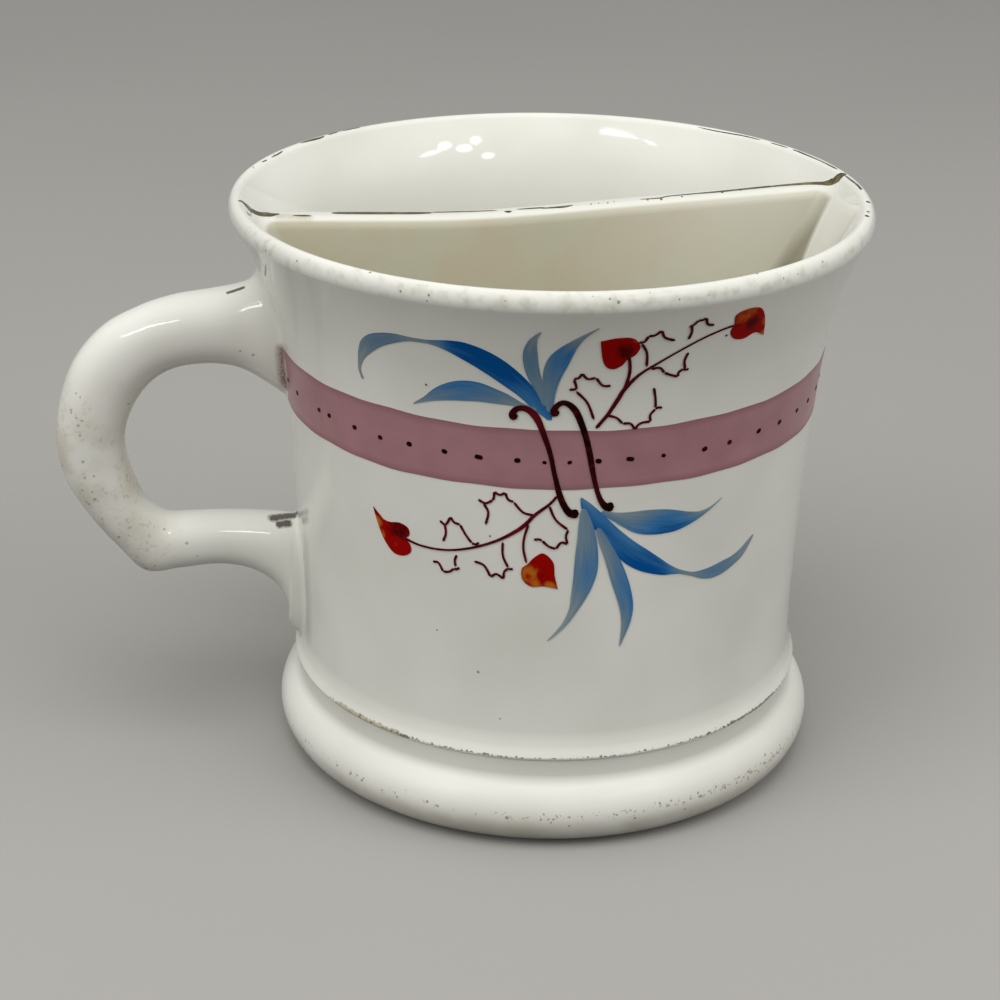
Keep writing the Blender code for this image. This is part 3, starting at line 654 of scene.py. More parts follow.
def wall_inside(size):
    """The wall's inner curve, from the shoulder up to the lip, to which the wall thins."""
    core = smooth([(size.waist_radius, size.shoulder_height), *wall_stations(size)], WALL_STEPS, rolled=True)
    end = lip_point(size, math.pi - lip_turn(size))
    lean = size.lip_lean
    thin = (core[-1][0] - end[0]) * math.cos(lean) + (end[1] - core[-1][1]) * math.sin(lean)
    inside = []
    for i, (r, z) in enumerate(core[:-1]):
        before, after = core[max(i - 1, 0)], core[i + 1]
        along = Vector((after[0] - before[0], after[1] - before[1])).normalized()
        thick = thin + (size.wall - thin) * min((core[-1][1] - z) / size.flare_drop, 1.0)
        inside.append((r - along.y * thick, z + along.x * thick))
    return inside + [end]


def outer_side(size):
    """Radius of the wall's outside, up to the lip."""
    return Curve(wall_outside(size))


def inner_side(size):
    """Radius of the wall's inside, over the lip's oval up to its crest."""
    start = math.pi - lip_turn(size)
    lip = [lip_point(size, start + (math.pi / 2 - start) * i / ARC_STEPS) for i in range(1, ARC_STEPS)]
    return Curve(wall_inside(size) + lip)


def pulled(size, height):
    """Share of the firing's pull at a height: none up to the band, and all of it at the rim."""
    band = size.height - size.band_drop
    return max((height - band) / (size.height - band), 0.0) ** 2


def fired(size, point):
    """A point of the turned ware as the kiln left it: the rim drawn to one side and its back let down."""
    share = pulled(size, point.z)
    back = max(point.y / size.rim_radius, 0.0)
    return point + Vector((-size.rim_pull * share, 0.0, -size.rim_drop * share * back))


def on_wall(size, side, along, height, lift):
    """The place over the wall's outside at a way along it and a height, lifted off it."""
    turn = along / size.band_radius
    lean = math.atan(side.slope(height))
    pull = size.rim_pull * pulled(size, height)
    r = side.value(height) + lift * math.cos(lean) - pull * math.sin(turn)
    return AXIS + Vector((r * math.sin(turn), -r * math.cos(turn), height - lift * math.sin(lean)))


def start_piece(name):
    """Names the primitive that was just added and returns it."""
    piece = bpy.context.object
    piece.name = name
    piece.data.name = name
    return piece


def edit(piece):
    """Opens a piece in edit mode with all of it selected."""
    bpy.ops.object.select_all(action="DESELECT")
    piece.select_set(True)
    bpy.context.view_layer.objects.active = piece
    bpy.ops.object.mode_set(mode="EDIT")
    bpy.ops.mesh.select_all(action="SELECT")


def close_up():
    """Merges the doubles of the piece in edit mode, turns its faces out and leaves edit mode."""
    bpy.ops.mesh.remove_doubles(threshold=MERGE)
    bpy.ops.mesh.normals_make_consistent(inside=False)
    bpy.ops.object.mode_set(mode="OBJECT")
    mesh = bpy.context.object.data
    volume = sum(face.center.dot(face.normal) * face.area for face in mesh.polygons)
    if volume < 0:
        mesh.flip_normals()


def modified(piece, kind, **settings):
    """Adds one modifier, sets it and applies it."""
    bpy.ops.object.select_all(action="DESELECT")
    piece.select_set(True)
    bpy.context.view_layer.objects.active = piece
    bpy.ops.object.modifier_add(type=kind)
    modifier = piece.modifiers[-1]
    for name, value in settings.items():
        setattr(modifier, name, value)
    bpy.ops.object.modifier_apply(modifier=modifier.name)


def turned(name, outline, closed=True):
    """An outline of (radius, height) points spun round the mug's axis. An open one ends on the axis."""
    bpy.ops.object.select_all(action="DESELECT")
    bpy.ops.mesh.primitive_circle_add(vertices=len(outline))
    piece = start_piece(name)
    for corner, (r, z) in zip(piece.data.vertices, outline):
        corner.co = (r, 0.0, z)
    if not closed:
        ends = {0, len(outline) - 1}
        edit(piece)
        bpy.ops.mesh.select_all(action="DESELECT")
        bpy.ops.object.mode_set(mode="OBJECT")
        for edge in piece.data.edges:
            edge.select = set(edge.vertices) == ends
        bpy.ops.object.mode_set(mode="EDIT")
        bpy.ops.mesh.select_mode(type="EDGE")
        bpy.ops.mesh.delete(type="EDGE")
        bpy.ops.mesh.select_mode(type="VERT")
        bpy.ops.object.mode_set(mode="OBJECT")
    edit(piece)
    bpy.ops.mesh.spin(steps=TURN_STEPS, angle=2 * math.pi, center=(0, 0, 0), axis=(0, 0, 1))
    bpy.ops.mesh.select_all(action="SELECT")
    close_up()
    piece.data.transform(Matrix.Translation(AXIS))
    return piece


def warped(size, piece):
    """A piece with its points moved as the kiln moved them."""
    for vertex in piece.data.vertices:
        vertex.co = fired(size, vertex.co)
    return piece


def laid(name, columns, rows, place, paint=None):
    """A grid whose points are laid out by a function of their place across it, with its paint's strength."""
    bpy.ops.object.select_all(action="DESELECT")
    bpy.ops.mesh.primitive_grid_add(x_subdivisions=columns, y_subdivisions=rows, size=2.0)
    piece = start_piece(name)
    places = [((v.co.x + 1) / 2, (v.co.y + 1) / 2) for v in piece.data.vertices]
    for vertex, (u, v) in zip(piece.data.vertices, places):
        vertex.co = place(u, v)
    if paint:
        strength = piece.data.attributes.new("paint", "FLOAT", "POINT")
        strength.data.foreach_set("value", [paint(u, v) for u, v in places])
    return piece


def joined(name, pieces):
    """Several pieces made one."""
    bpy.ops.object.select_all(action="DESELECT")
    for piece in pieces:
        piece.select_set(True)
    bpy.context.view_layer.objects.active = pieces[0]
    if len(pieces) > 1:
        bpy.ops.object.join()
    return start_piece(name)


def finish(piece, material, slot, *nodes):
    """Shades a piece, gives it its material and ties it to the frame."""
    bpy.ops.object.select_all(action="DESELECT")
    piece.select_set(True)
    bpy.context.view_layer.objects.active = piece
    bpy.ops.object.shade_smooth_by_angle(angle=SMOOTH_ANGLE)
    piece.data.materials.clear()
    piece.data.materials.append(material)
    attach(piece, BODY)
    if nodes:
        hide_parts(*nodes)


def centreline(stations, steps=STROKE_STEPS):
    """A stroke's middle points, its sideways directions and its other values, with round ends."""
    curve = smooth(stations, steps)
    last = len(curve) - 1
    runs = [0.0]
    for a, b in zip(curve, curve[1:]):
        runs.append(runs[-1] + math.dist(a[:2], b[:2]))
    line = []
    for i, (x, z, half, *rest) in enumerate(curve):
        before, after = curve[max(i - 1, 0)], curve[min(i + 1, last)]
        along = Vector((after[0] - before[0], after[1] - before[1])).normalized()
        room = min(runs[i], runs[-1] - runs[i])
        if room < half:
            half *= math.sqrt(1 - (1 - room / half) ** 2)
        line.append((x, z, -along.y * half, along.x * half, *rest))
    return line


def stroke(size, side, stations, lift, rows=STROKE_ROWS, steps=STROKE_STEPS, lean=0.0):
    """One brush stroke on the wall, through stations of way along, height, half width and strength.
    Its lean is how much stronger the paint is on its left side than in the middle."""
    line = centreline(stations, steps)
    last = len(line) - 1

    def place(u, v):
        x, z, across_x, across_z = at(line, u * last)[:4]
        reach = 2 * v - 1
        return on_wall(size, side, (x + across_x * reach) * MM, (z + across_z * reach) * MM, lift)

    def paint(u, v):
        values = at(line, u * last)
        return values[4] + lean * (2 * v - 1) if len(values) > 4 else 0.0

    return laid("stroke", last, rows, place, paint)


def dropped(trees, x, y, lift):
    """The place over the topmost of some pieces at a point of the plan, in millimetres from the axis."""
    start = AXIS + Vector((x * MM, y * MM, 2 * WALL_HIGH.z))
    hits = [tree.ray_cast(start, Vector((0.0, 0.0, -1.0))) for tree in trees]
    point, normal = max(((hit[0], hit[1]) for hit in hits if hit[0]), key=lambda hit: hit[0].z)
    return point + normal * lift


def traced(trees, stations, lift):
    """A thin strip over the topmost of some pieces, through stations of the plan with half widths."""
    line = centreline(stations)
    last = len(line) - 1

    def place(u, v):
        x, y, across_x, across_y = at(line, u * last)
        reach = 2 * v - 1
        return dropped(trees, x + across_x * reach, y + across_y * reach, lift)

    return laid("strip", last, STROKE_ROWS, place)


def coated(size, name, strokes):
    """Strokes of one colour joined and given the thickness of their coat."""
    piece = joined(name, strokes)
    modified(piece, "SOLIDIFY", thickness=size.coat, offset=-1.0)
    return piece


def add(tree, kind, sockets=None, **settings):
    """Adds one node with its settings, and fills its sockets with values or with other nodes' outputs."""
    made = tree.nodes.new(kind)
    for name, value in settings.items():
        setattr(made, name, value)
    for key, value in (sockets or {}).items():
        socket = made.inputs[key] if isinstance(key, int) else next(
            s for s in made.inputs if s.name == key and s.enabled)
        if isinstance(value, bpy.types.Node):
            value = next(s for s in value.outputs if s.enabled)
        if isinstance(value, bpy.types.NodeSocket):
            tree.links.new(value, socket)
        elif socket.type == "RGBA":
            socket.default_value = (*value, 1.0)
        else:
            socket.default_value = value
    return made


def per_mm(grain):
    """Scale of a texture on metres whose grains are so many millimetres wide."""
    return 1.0 / (grain * MM)


def new_material(name, roughness, specular=0.5):
    """An empty material, its tree, its shader and its object coordinates."""
    material = bpy.data.materials.new(name)
    material.use_nodes = True
    tree = material.node_tree
    shader = tree.nodes["Principled BSDF"]
    shader.inputs["Roughness"].default_value = roughness
    shader.inputs["IOR"].default_value = 1.5
    shader.inputs["Specular IOR Level"].default_value = specular
    coords = add(tree, "ShaderNodeTexCoord").outputs["Object"]
    return material, tree, shader, coords


def grains(tree, coords, grain, detail):
    """Plain noise with grains of a width in millimetres."""
    scale = per_mm(grain)
    return add(tree, "ShaderNodeTexNoise", {"Vector": coords, "Scale": scale, "Detail": detail}).outputs[0]


def between(tree, value, start, full, most=1.0, least=0.0):
    """A share that goes from its least at one value to its most at another."""
    return add(tree, "ShaderNodeMapRange", {"Value": value, "From Min": start, "From Max": full,
                                            "To Min": least, "To Max": most})


def noise(tree, coords, grain, low, high, detail=2.0):
    """Patches of a size in millimetres, from 0 under the low level of the noise to 1 over the high one."""
    return between(tree, grains(tree, coords, grain, detail), low, high)


def vector(tree, operation, first, second):
    """The vector that a step of vector math gives."""
    return add(tree, "ShaderNodeVectorMath", {0: first, 1: second}, operation=operation).outputs["Vector"]


def measure(tree, operation, first, second):
    """The number that a step of vector math gives."""
    return add(tree, "ShaderNodeVectorMath", {0: first, 1: second}, operation=operation).outputs["Value"]


def coordinate(tree, coords, axis):
    """One coordinate of a place."""
    return add(tree, "ShaderNodeSeparateXYZ", {0: coords}).outputs[axis]


def paint_strength(tree):
    """What the points of a painted grid say about their paint."""
    return add(tree, "ShaderNodeAttribute", attribute_name="paint").outputs["Fac"]


def larger(tree, first, second):
    """The larger of two shares."""
    return add(tree, "ShaderNodeMath", {0: first, 1: second}, operation="MAXIMUM")


def blend(tree, share, below, above):
    """One colour over another."""
    return add(tree, "ShaderNodeMix", {"Factor": share, "A": below, "B": above}, data_type="RGBA")


def times(tree, first, second):
    """Two shares multiplied."""
    return add(tree, "ShaderNodeMath", {0: first, 1: second}, operation="MULTIPLY")


def ramp(tree, share, stops):
    """A colour for each share, through stops of place and colour."""
    made = add(tree, "ShaderNodeValToRGB", {"Fac": share})
    row = made.color_ramp.elements
    while len(row) < len(stops):
        row.new(0.5)
    for element, (place, tone) in zip(row, stops):
        element.position = place
        element.color = (*tone, 1.0)
    return made


def around(tree, coords, stops):
    """A share that changes round the mug, through stops of degrees from the front and share."""
    turned_coords = add(tree, "ShaderNodeMapping", {"Vector": coords, "Location": (0.0, -AXIS.x, 0.0),
                                                    "Rotation": (0.0, 0.0, math.pi / 2)})
    sweep = add(tree, "ShaderNodeTexGradient", {"Vector": turned_coords}, gradient_type="RADIAL")
    tones = [(0.5 + degrees / 360, (share,) * 3) for degrees, share in stops]
    return ramp(tree, sweep.outputs["Fac"], tones)


def near_place(tree, coords, place, reach, end=None):
    """1 at a place, or all along the way from it to an end, falling to 0 at its reach."""
    if end:
        way = end - place
        off = vector(tree, "SUBTRACT", coords, place)
        share = between(tree, measure(tree, "DOT_PRODUCT", off, way), 0.0, way.length_squared)
        gone = add(tree, "ShaderNodeVectorMath", {0: way, "Scale": share}, operation="SCALE")
        off = measure(tree, "DISTANCE", off, gone)
    else:
        off = measure(tree, "DISTANCE", coords, place)
    return between(tree, off, 0.0, reach, 0.0, 1.0)


def worn_line(tree, coords, surface, tone, cover, ring, reach, stops, grain=0.55, edge=(0.84, 0.92)):
    """What rubbing left of a gilt line along a ring of (radius, height): grains, or a film where more is
    left."""
    level = vector(tree, "MULTIPLY", vector(tree, "SUBTRACT", coords, AXIS), (1.0, 1.0, 0.0))
    out = measure(tree, "LENGTH", level, (0.0, 0.0, 0.0))
    section = add(tree, "ShaderNodeCombineXYZ", {"X": out, "Z": coordinate(tree, coords, "Z")})
    close = near_place(tree, section, (ring[0], 0.0, ring[1]), reach)
    left = add(tree, "ShaderNodeMath", {0: around(tree, coords, stops), 1: close,
                                        2: grains(tree, coords, grain, 2.0)}, operation="MULTIPLY_ADD")
    share = between(tree, left, *edge, cover)
    return blend(tree, times(tree, share, between(tree, close, 0.0, 0.1)), surface, tone)


def spotted(tree, coords, surface, tone, cover, spots, edge=(0.3, 0.55)):
    """Spots with ragged edges, each from its place in millimetres from the axis, its end if it is a streak,
    and its reach. A wider edge is a softer one."""
    nearest = None
    for *ends, reach in spots:
        place, *end = [AXIS + Vector(spot) * MM for spot in ends]
        close = near_place(tree, coords, place, reach * MM, *end)
        nearest = larger(tree, nearest, close) if nearest else close
    rough = grains(tree, coords, 0.4, 1.0)
    uneven = add(tree, "ShaderNodeMath", {0: rough, 1: 0.5}, operation="ADD")
    ragged = times(tree, nearest, uneven)
    return blend(tree, between(tree, ragged, *edge, cover), surface, tone)


def glaze(name, tint, marks=None, roughness=0.045):
    """Glazed hard-paste porcelain, dipped and fired: a wet shine over a white body with faint grey
    clouds. Its marks are a function that adds what wear and dirt left on it, and some painted shade."""
    material, tree, shader, coords = new_material(name, roughness)
    surface = blend(tree, noise(tree, coords, 22.0, 0.35, 0.7), tint.porcelain, tint.porcelain_shade)
    if marks:
        surface = marks(tree, coords, surface)
    link_colour(tree, shader, surface)
    ripple = grains(tree, coords, 7.0, 1.0)
    bump = add(tree, "ShaderNodeBump", {"Height": ripple, "Strength": 0.015, "Distance": 1.0 * MM})
    tree.links.new(bump.outputs[0], shader.inputs["Normal"])
    return material


def link_colour(tree, shader, surface):
    """The last colour of a chain becomes the shader's own."""
    tree.links.new(next(s for s in surface.outputs if s.enabled), shader.inputs["Base Color"])


def enamel(name, full, thin):
    """Overglaze enamel, painted on and fired again: flatter than the glaze, and redder where the brush left
    less."""
    material, tree, shader, coords = new_material(name, 0.3, 0.02)
    share = larger(tree, paint_strength(tree), noise(tree, coords, 1.2, 0.5, 0.8, 3.0))
    link_colour(tree, shader, blend(tree, share, full, thin))
    return material


def rose_enamel(tint):
    """Rose enamel laid on with a broad brush on the wheel: an even matt pink with faint clouds, and darker
    where the paint gathered along the edges."""
    material, tree, shader, coords = new_material("rose_enamel", 0.25, 0.25)
    surface = blend(tree, noise(tree, coords, 5.0, 0.35, 0.7, 4.0), tint.rose, tint.rose_edge)
    surface = blend(tree, 0.6, surface, tint.rose)
    link_colour(tree, shader, blend(tree, paint_strength(tree), surface, tint.rose_edge))
    return material


def cobalt_enamel(tint):
    """Cobalt blue enamel in long brush strokes: deep where the brush was full, grey and thin at the tips."""
    material, tree, shader, coords = new_material("cobalt_enamel", 0.3, 0.02)
    sweep = add(tree, "ShaderNodeTexCoord").outputs["UV"]
    stretched = add(tree, "ShaderNodeMapping", {"Vector": sweep, "Scale": (2.4, 4.0, 1.0)})
    streaks = add(tree, "ShaderNodeTexNoise", {"Vector": stretched, "Scale": 1.5, "Detail": 3.0})
    link_colour(tree, shader, ramp(tree, streaked(tree, streaks.outputs[0]), [
        (0.02, tint.cobalt_thin), (0.38, tint.cobalt_pale), (0.65, tint.cobalt_wash), (0.95, tint.cobalt)]))
    return material


def streaked(tree, streaks):
    """The paint's strength, made uneven by the streaks of the brush."""
    uneven = between(tree, streaks, 0.3, 0.7, 0.1, -0.1)
    return add(tree, "ShaderNodeMath", {0: paint_strength(tree), 1: uneven}, operation="ADD")


def bud_enamel(tint):
    """Iron red enamel, crimson in the folds and shaded into orange on one side, with brush streaks."""
    material, tree, shader, coords = new_material("iron_red_enamel", 0.3, 0.02)
    link_colour(tree, shader, ramp(tree, streaked(tree, grains(tree, coords, 0.8, 3.0)), [
        (0.05, tint.crimson), (0.45, tint.iron_red), (0.6, tint.iron_red), (0.95, tint.orange)]))
    return material


def gilding(tint):
    """Gilding rubbed thin: brown gold that has lost its burnish."""
    material, tree, shader, coords = new_material("worn_gilding", 0.42)
    shader.inputs["Metallic"].default_value = 0.2
    patches = noise(tree, coords, 1.2, 0.45, 0.7, 3.0)
    link_colour(tree, shader, blend(tree, patches, tint.gilt_dark, tint.gilt))
    return material


def soap_stain(name, tint, facing, marks=None):
    """Glaze dulled by years of soap: an olive beige film with warmer patches on the side that the soap
    lies against, and clean glaze elsewhere. Its marks are a function that changes the film further."""
    material, tree, shader, coords = new_material(name, 0.2)
    film = blend(tree, noise(tree, coords, 9.0, 0.4, 0.6), tint.soap_stain, tint.soap_blush)
    if marks:
        film = marks(tree, coords, film)
    normal = add(tree, "ShaderNodeNewGeometry").outputs["Normal"]
    soapy = between(tree, measure(tree, "DOT_PRODUCT", normal, facing), 0.15, 0.45)
    surface = blend(tree, soapy, tint.porcelain_shade, film)
    surface = spotted(tree, coords, surface, tint.gilt_film, 0.5, DIVIDER_SMEARS, (0.1, 1.0))
    link_colour(tree, shader, surface)
    return material


def painted_corner_shadow(tint):
    """A film that gets lighter to the right, up to a painted shadow with a slanting edge in the right
    corner.
    """
    def over(tree, coords, film):
        slant = measure(tree, "DOT_PRODUCT", coords, (1.0, 0.0, SHADOW_LEAN))
        corner = between(tree, slant, AXIS.x + SHADOW_START, AXIS.x + SHADOW_END, 0.7)
        lighter_right = between(tree, coordinate(tree, coords, "X"), AXIS.x, AXIS.x + FILM_END, 0.35)
        film = blend(tree, lighter_right, film, tint.porcelain_shade)
        return blend(tree, corner, film, tint.corner_shadow)
    return over


def painted_well_shade(tree, coords, size):
    """Painted shade inside the wall: nothing at the rim, more farther down, and little on the right."""
    deep = between(tree, coordinate(tree, coords, "Z"), *(size.height - depth for depth in WELL_SHADE_DEPTHS))
    normal = add(tree, "ShaderNodeNewGeometry").outputs["Normal"]
    facing = measure(tree, "DOT_PRODUCT", vector(tree, "SUBTRACT", coords, AXIS), normal)
    inside = between(tree, facing, WELL_SHADE_TURN, -WELL_SHADE_TURN)
    return times(tree, times(tree, deep, inside), around(tree, coords, WELL_SHADE_ROUND))


def wall_marks(size, tint):
    """Grains along the lip, and a line on the shoulder that is left as a film, as grains or nearly whole."""
    ring = (size.shoulder_radius, size.shoulder_height + GILT_RISE)
    lip, crest = ((size.rim_radius - inset, size.height - drop) for inset, drop in (LIP_LINE, CREST_LINE))

    def over(tree, coords, surface):
        # Painted shade inside the wall, deeper down from the rim
        surface = blend(tree, painted_well_shade(tree, coords, size), surface, tint.well_shade)
        # Painted shade on the wall beside the handle's lower root
        surface = spotted(tree, coords, surface, tint.grime_and_shade, 0.36, ROOT_SHADE, (0.0, 1.1))
        surface = worn_line(tree, coords, surface, tint.gilt_film, 0.4, lip, 2.2 * MM, LIP_FILM,
                            grain=1.6, edge=(0.72, 1.05))
        surface = worn_line(tree, coords, surface, tint.gilt_dark, 0.6, crest, 0.8 * MM, RIM_GRAINS)
        surface = worn_line(tree, coords, surface, tint.gilt_film, 0.65, ring, 0.8 * MM, SHOULDER_FILM)
        surface = worn_line(tree, coords, surface, tint.gilt_dark, 0.75, ring, 0.6 * MM, SHOULDER_GRAINS)
        return spotted(tree, coords, surface, tint.gilt_dark, 0.7, LIP_SPECKS + WALL_PITS)
    return over


def handle_marks(tint):
    """Brown specks in the glaze of the bow and the heel, a scratch, caught dirt, and run paint darkened by
    painted shade where it meets the wall.
    """
    def over(tree, coords, surface):
        bow = between(tree, coordinate(tree, coords, "X"), *TAN_BOW)
        low = between(tree, coordinate(tree, coords, "Z"), *TAN_LOW)
        cloudy = times(tree, times(tree, bow, low), noise(tree, coords, 7.0, 0.38, 0.6))
        surface = blend(tree, times(tree, cloudy, 0.45), surface, tint.tan)
        peppered = times(tree, cloudy, noise(tree, coords, 0.7, 0.56, 0.68))
        surface = blend(tree, times(tree, peppered, 0.45), surface, tint.speck)
        # Band paint run on to the root, darkened as painted shade in the crease
        surface = spotted(tree, coords, surface, tint.rose_run_and_shade, 0.85, BAND_RUN_AND_SHADE, (0.1, 0.9))
        surface = spotted(tree, coords, surface, tint.speck, 0.55, HANDLE_SPECKS)
        return spotted(tree, coords, surface, tint.grime_and_shade, 0.9, HANDLE_DIRT, (0.2, 0.6))
    return over


def foot_marks(size, tint):
    """Gilt grains on the half-round, beige discolouring under them, and bare clay where it stands."""
    ring = (size.foot_radius, size.foot_round + GILT_RISE)

    def over(tree, coords, surface):
        height = coordinate(tree, coords, "Z")
        low = between(tree, height, *TAN_FOOT, 0.5)
        surface = blend(tree, times(tree, low, noise(tree, coords, 6.0, 0.25, 0.6)), surface, tint.tan)
        surface = worn_line(tree, coords, surface, tint.speck, 0.6, ring, 2.2 * MM, FOOT_GRAINS)
        surface = spotted(tree, coords, surface, tint.gilt_dark, 0.6, FOOT_SPECKS)
        return blend(tree, between(tree, height, *BARE_CLAY), surface, tint.biscuit)
    return over


def wall_outline(size):
    """The wall's whole section: outside, lip, inside and the rounded shoulder."""
    edge = size.shoulder_edge
    centre = (size.shoulder_radius - edge, size.shoulder_height + edge)
    shoulder = arc(centre, edge, -math.pi / 2, 0.0, 5)[:-1]
    start = -lip_turn(size)
    lip = [lip_point(size, start + math.pi * i / LIP_STEPS) for i in range(1, LIP_STEPS)]
    inside = wall_inside(size)
    return shoulder + wall_outside(size) + lip + inside[::-1] + [(inside[0][0], size.shoulder_height)]


class MUG_OT_wall(bpy.types.Operator):
    """Turns the flared wall with its round lip"""
    bl_idname = "mug.wall"
    bl_label = "Wall"

    def execute(self, context):
        size, tint = context.scene.mug_sizes, context.scene.mug_colours
        piece = warped(size, turned("glazed_wall", wall_outline(size)))
        finish(piece, glaze("wall_glaze", tint, wall_marks(size, tint)), "porcelain_glaze", "body_wall")
        return {"FINISHED"}


class MUG_OT_foot(bpy.types.Operator):
    """Turns the moulded foot: a cove, a half-round and the rest"""
    bl_idname = "mug.foot"
    bl_label = "Foot"

    def execute(self, context):
        size, tint = context.scene.mug_sizes, context.scene.mug_colours
        inner = wall_inside(size)[0][0]
        centre = (size.foot_radius - size.foot_round, size.foot_round)
        reach = size.foot_round + size.cove_round
        turn = math.acos((size.cove_radius + size.cove_round - centre[0]) / reach)
        half_round = arc(centre, size.foot_round, turn, -math.pi / 2, ARC_STEPS * 2)
        hollow = (size.cove_radius + size.cove_round, centre[1] + reach * math.sin(turn))
        top = size.shoulder_height + size.coat
        cove = [(size.neck_radius, top)] + arc(hollow, size.cove_round, math.pi, math.pi + turn, ARC_STEPS)
        rest_inner = centre[0] - size.rest_width
        inside = [
            (rest_inner, 0.0),
            (rest_inner - size.rest_chamfer, size.rest_chamfer),
            (rest_inner - size.rest_chamfer, FLOOR_LOW.z),
            (inner, FLOOR_LOW.z),
            (inner, top),
        ]
        piece = turned("moulded_foot", cove[:-1] + half_round + inside)
        finish(piece, glaze("foot_glaze", tint, foot_marks(size, tint), 0.3), "porcelain_glaze", "foot_ring")
        return {"FINISHED"}


class MUG_OT_floor(bpy.types.Operator):
    """Turns the floor inside the mug, rounded up into the wall"""
    bl_idname = "mug.floor"
    bl_label = "Floor"

    def execute(self, context):
        size, tint = context.scene.mug_sizes, context.scene.mug_colours
        inner = wall_inside(size)[0][0]
        centre = (inner - size.floor_fillet, FLOOR_HIGH.z + size.floor_fillet)
        rounding = arc(centre, size.floor_fillet, -math.pi / 2, 0.0, ARC_STEPS)
        outline = [(0.0, FLOOR_HIGH.z), *rounding, (inner + size.coat, centre[1]),
                   (inner + size.coat, FLOOR_LOW.z + size.coat), (inner - size.coat, FLOOR_LOW.z),
                   (0.0, FLOOR_LOW.z)]
        piece = turned("mug_floor", outline, closed=False)
        finish(piece, glaze("floor_glaze", tint), "porcelain_glaze", "base_floor")
        return {"FINISHED"}


def strap_lines(size):
    """The strap's side lines from root to root, and the middle of each of its sections."""
    sections = smooth(HANDLE_SECTIONS, STRAP_STEPS)
    outers = [Vector((-size.waist_radius - s[0] * MM, 0.0, s[1] * MM)) for s in sections]
    inners = [Vector((-size.waist_radius - s[2] * MM, 0.0, s[3] * MM)) for s in sections]
    middles = [(a + b) / 2 for a, b in zip(outers, inners)]
    lines = []
    for i in range(STRAP_SIDES):
        turn = 2 * math.pi * i / STRAP_SIDES
        across, along = (math.copysign(abs(v) ** (2 / STRAP_SQUARENESS), v)
                         for v in (math.sin(turn), math.cos(turn)))
        lines.append([m + (o - m) * along + Vector((0.0, s[4] * MM * across, 0.0))
                      for m, o, s in zip(middles, outers, sections)])
    return lines, middles


def clearance(side, point):
    """Distance of a point from the wall's outside."""
    lean = math.atan(side.slope(point.z))
    return (math.hypot(point.x, point.y) - side.value(point.z)) * math.cos(lean)


def set_clearance(side, point, distance):
    """The point moved straight out or in until it is at a distance from the wall's outside."""
    lean = math.atan(side.slope(point.z))
    reach = side.value(point.z) + distance / math.cos(lean)
    scale = reach / math.hypot(point.x, point.y)
    return Vector((point.x * scale, point.y * scale, point.z))


def root_rings(side, line, middles, inward, radius):
    """A side line's last points before the wall, swelling out in a fillet, and where that begins."""
    last = len(line) - 1
    order = list(range(last // 2, -1, -1) if inward < 0 else range(last // 2, last + 1))
    gaps = [clearance(side, line[i]) for i in order]

    def crossing(distance):
        k = next(k for k, gap in enumerate(gaps) if gap <= distance)
        share = (gaps[k - 1] - distance) / (gaps[k - 1] - gaps[k])
        return order[k - 1] + (order[k] - order[k - 1]) * share

    points = []
    for i in range(1, FILLET_RINGS + 1):
        turn = math.pi / 2 * i / FILLET_RINGS
        distance = radius * (1 - math.sin(turn))
        place = crossing(distance)
        point, middle = Vector(at(line, place)), Vector(at(middles, place))
        normal = Vector((point.x, point.y, 0.0)).normalized()
        away = point - middle
        away = (away - normal * away.dot(normal)).normalized()
        points.append(set_clearance(side, point + away * fillet(distance, radius), distance))
    sunk = [set_clearance(side, points[-1], -depth) for depth in ROOT_DEPTHS]
    return crossing(radius), points[:-1] + sunk


class MUG_OT_handle(bpy.types.Operator):
    """Sweeps the ear handle and works its roots into the wall"""
    bl_idname = "mug.handle"
    bl_label = "Handle"

    def execute(self, context):
        size, tint = context.scene.mug_sizes, context.scene.mug_colours
        side = outer_side(size)
        lines, middles = strap_lines(size)
        columns = []
        for i, line in enumerate(lines):
            flick = size.strap_flick * max(math.cos(2 * math.pi * i / STRAP_SIDES), 0.0) ** 3
            start, upper = root_rings(side, line, middles, -1, size.strap_fillet + flick)
            end, lower = root_rings(side, line, middles, 1, size.strap_fillet)
            places = [start + (end - start) * k / STRAP_RINGS for k in range(STRAP_RINGS + 1)]
            strap = [Vector(at(line, place)) for place in places]
            columns.append(upper[::-1] + strap + lower)
        columns.append(columns[0])
        rings = len(columns[0]) - 1

        def place(u, v):
            return AXIS + columns[round(u * STRAP_SIDES)][round(v * rings)]

        piece = laid("ear_handle", STRAP_SIDES, rings, place)
        edit(piece)
        bpy.ops.mesh.remove_doubles(threshold=MERGE)
        bpy.ops.mesh.fill_holes(sides=STRAP_SIDES)
        bpy.ops.mesh.select_all(action="SELECT")
        close_up()
        finish(piece, glaze("handle_glaze", tint, handle_marks(tint)), "porcelain_glaze", "handle")
        return {"FINISHED"}


def divider_top(size, side, reach):
    """Height of the divider's top edge at a place along it."""
    drop = Curve([(drop * MM, place * MM) for place, drop in smooth(DIVIDER_SAG, WALL_STEPS)])
    end = math.sqrt(side.value(size.height - size.lip) ** 2 - size.divider_offset ** 2)
    return size.height - drop.value(reach) + 0.8 * fillet(end - abs(reach), 2 * size.divider_joint)


def divider_section(size, top):
    """The divider's section as distance across it and height: up the front, over the top, down the back."""
    half, low = size.divider_thick / 2, SHELF_LOW.z
    front, back = size.divider_front_edge, size.divider_back_edge
    rise = [(-half, low + (top - front - low) * i / FACE_ROWS) for i in range(FACE_ROWS)]
    edge = arc((front - half, top - front), front, math.pi, math.pi / 2, EDGE_ROWS)
    over = arc((half - back, top - back), back, math.pi / 2, 0.0, EDGE_ROWS)
    fall = [(half, top - back + (low - top + back) * i / FACE_ROWS) for i in range(1, FACE_ROWS + 1)]
    return rise + edge + over + fall + [rise[0]]


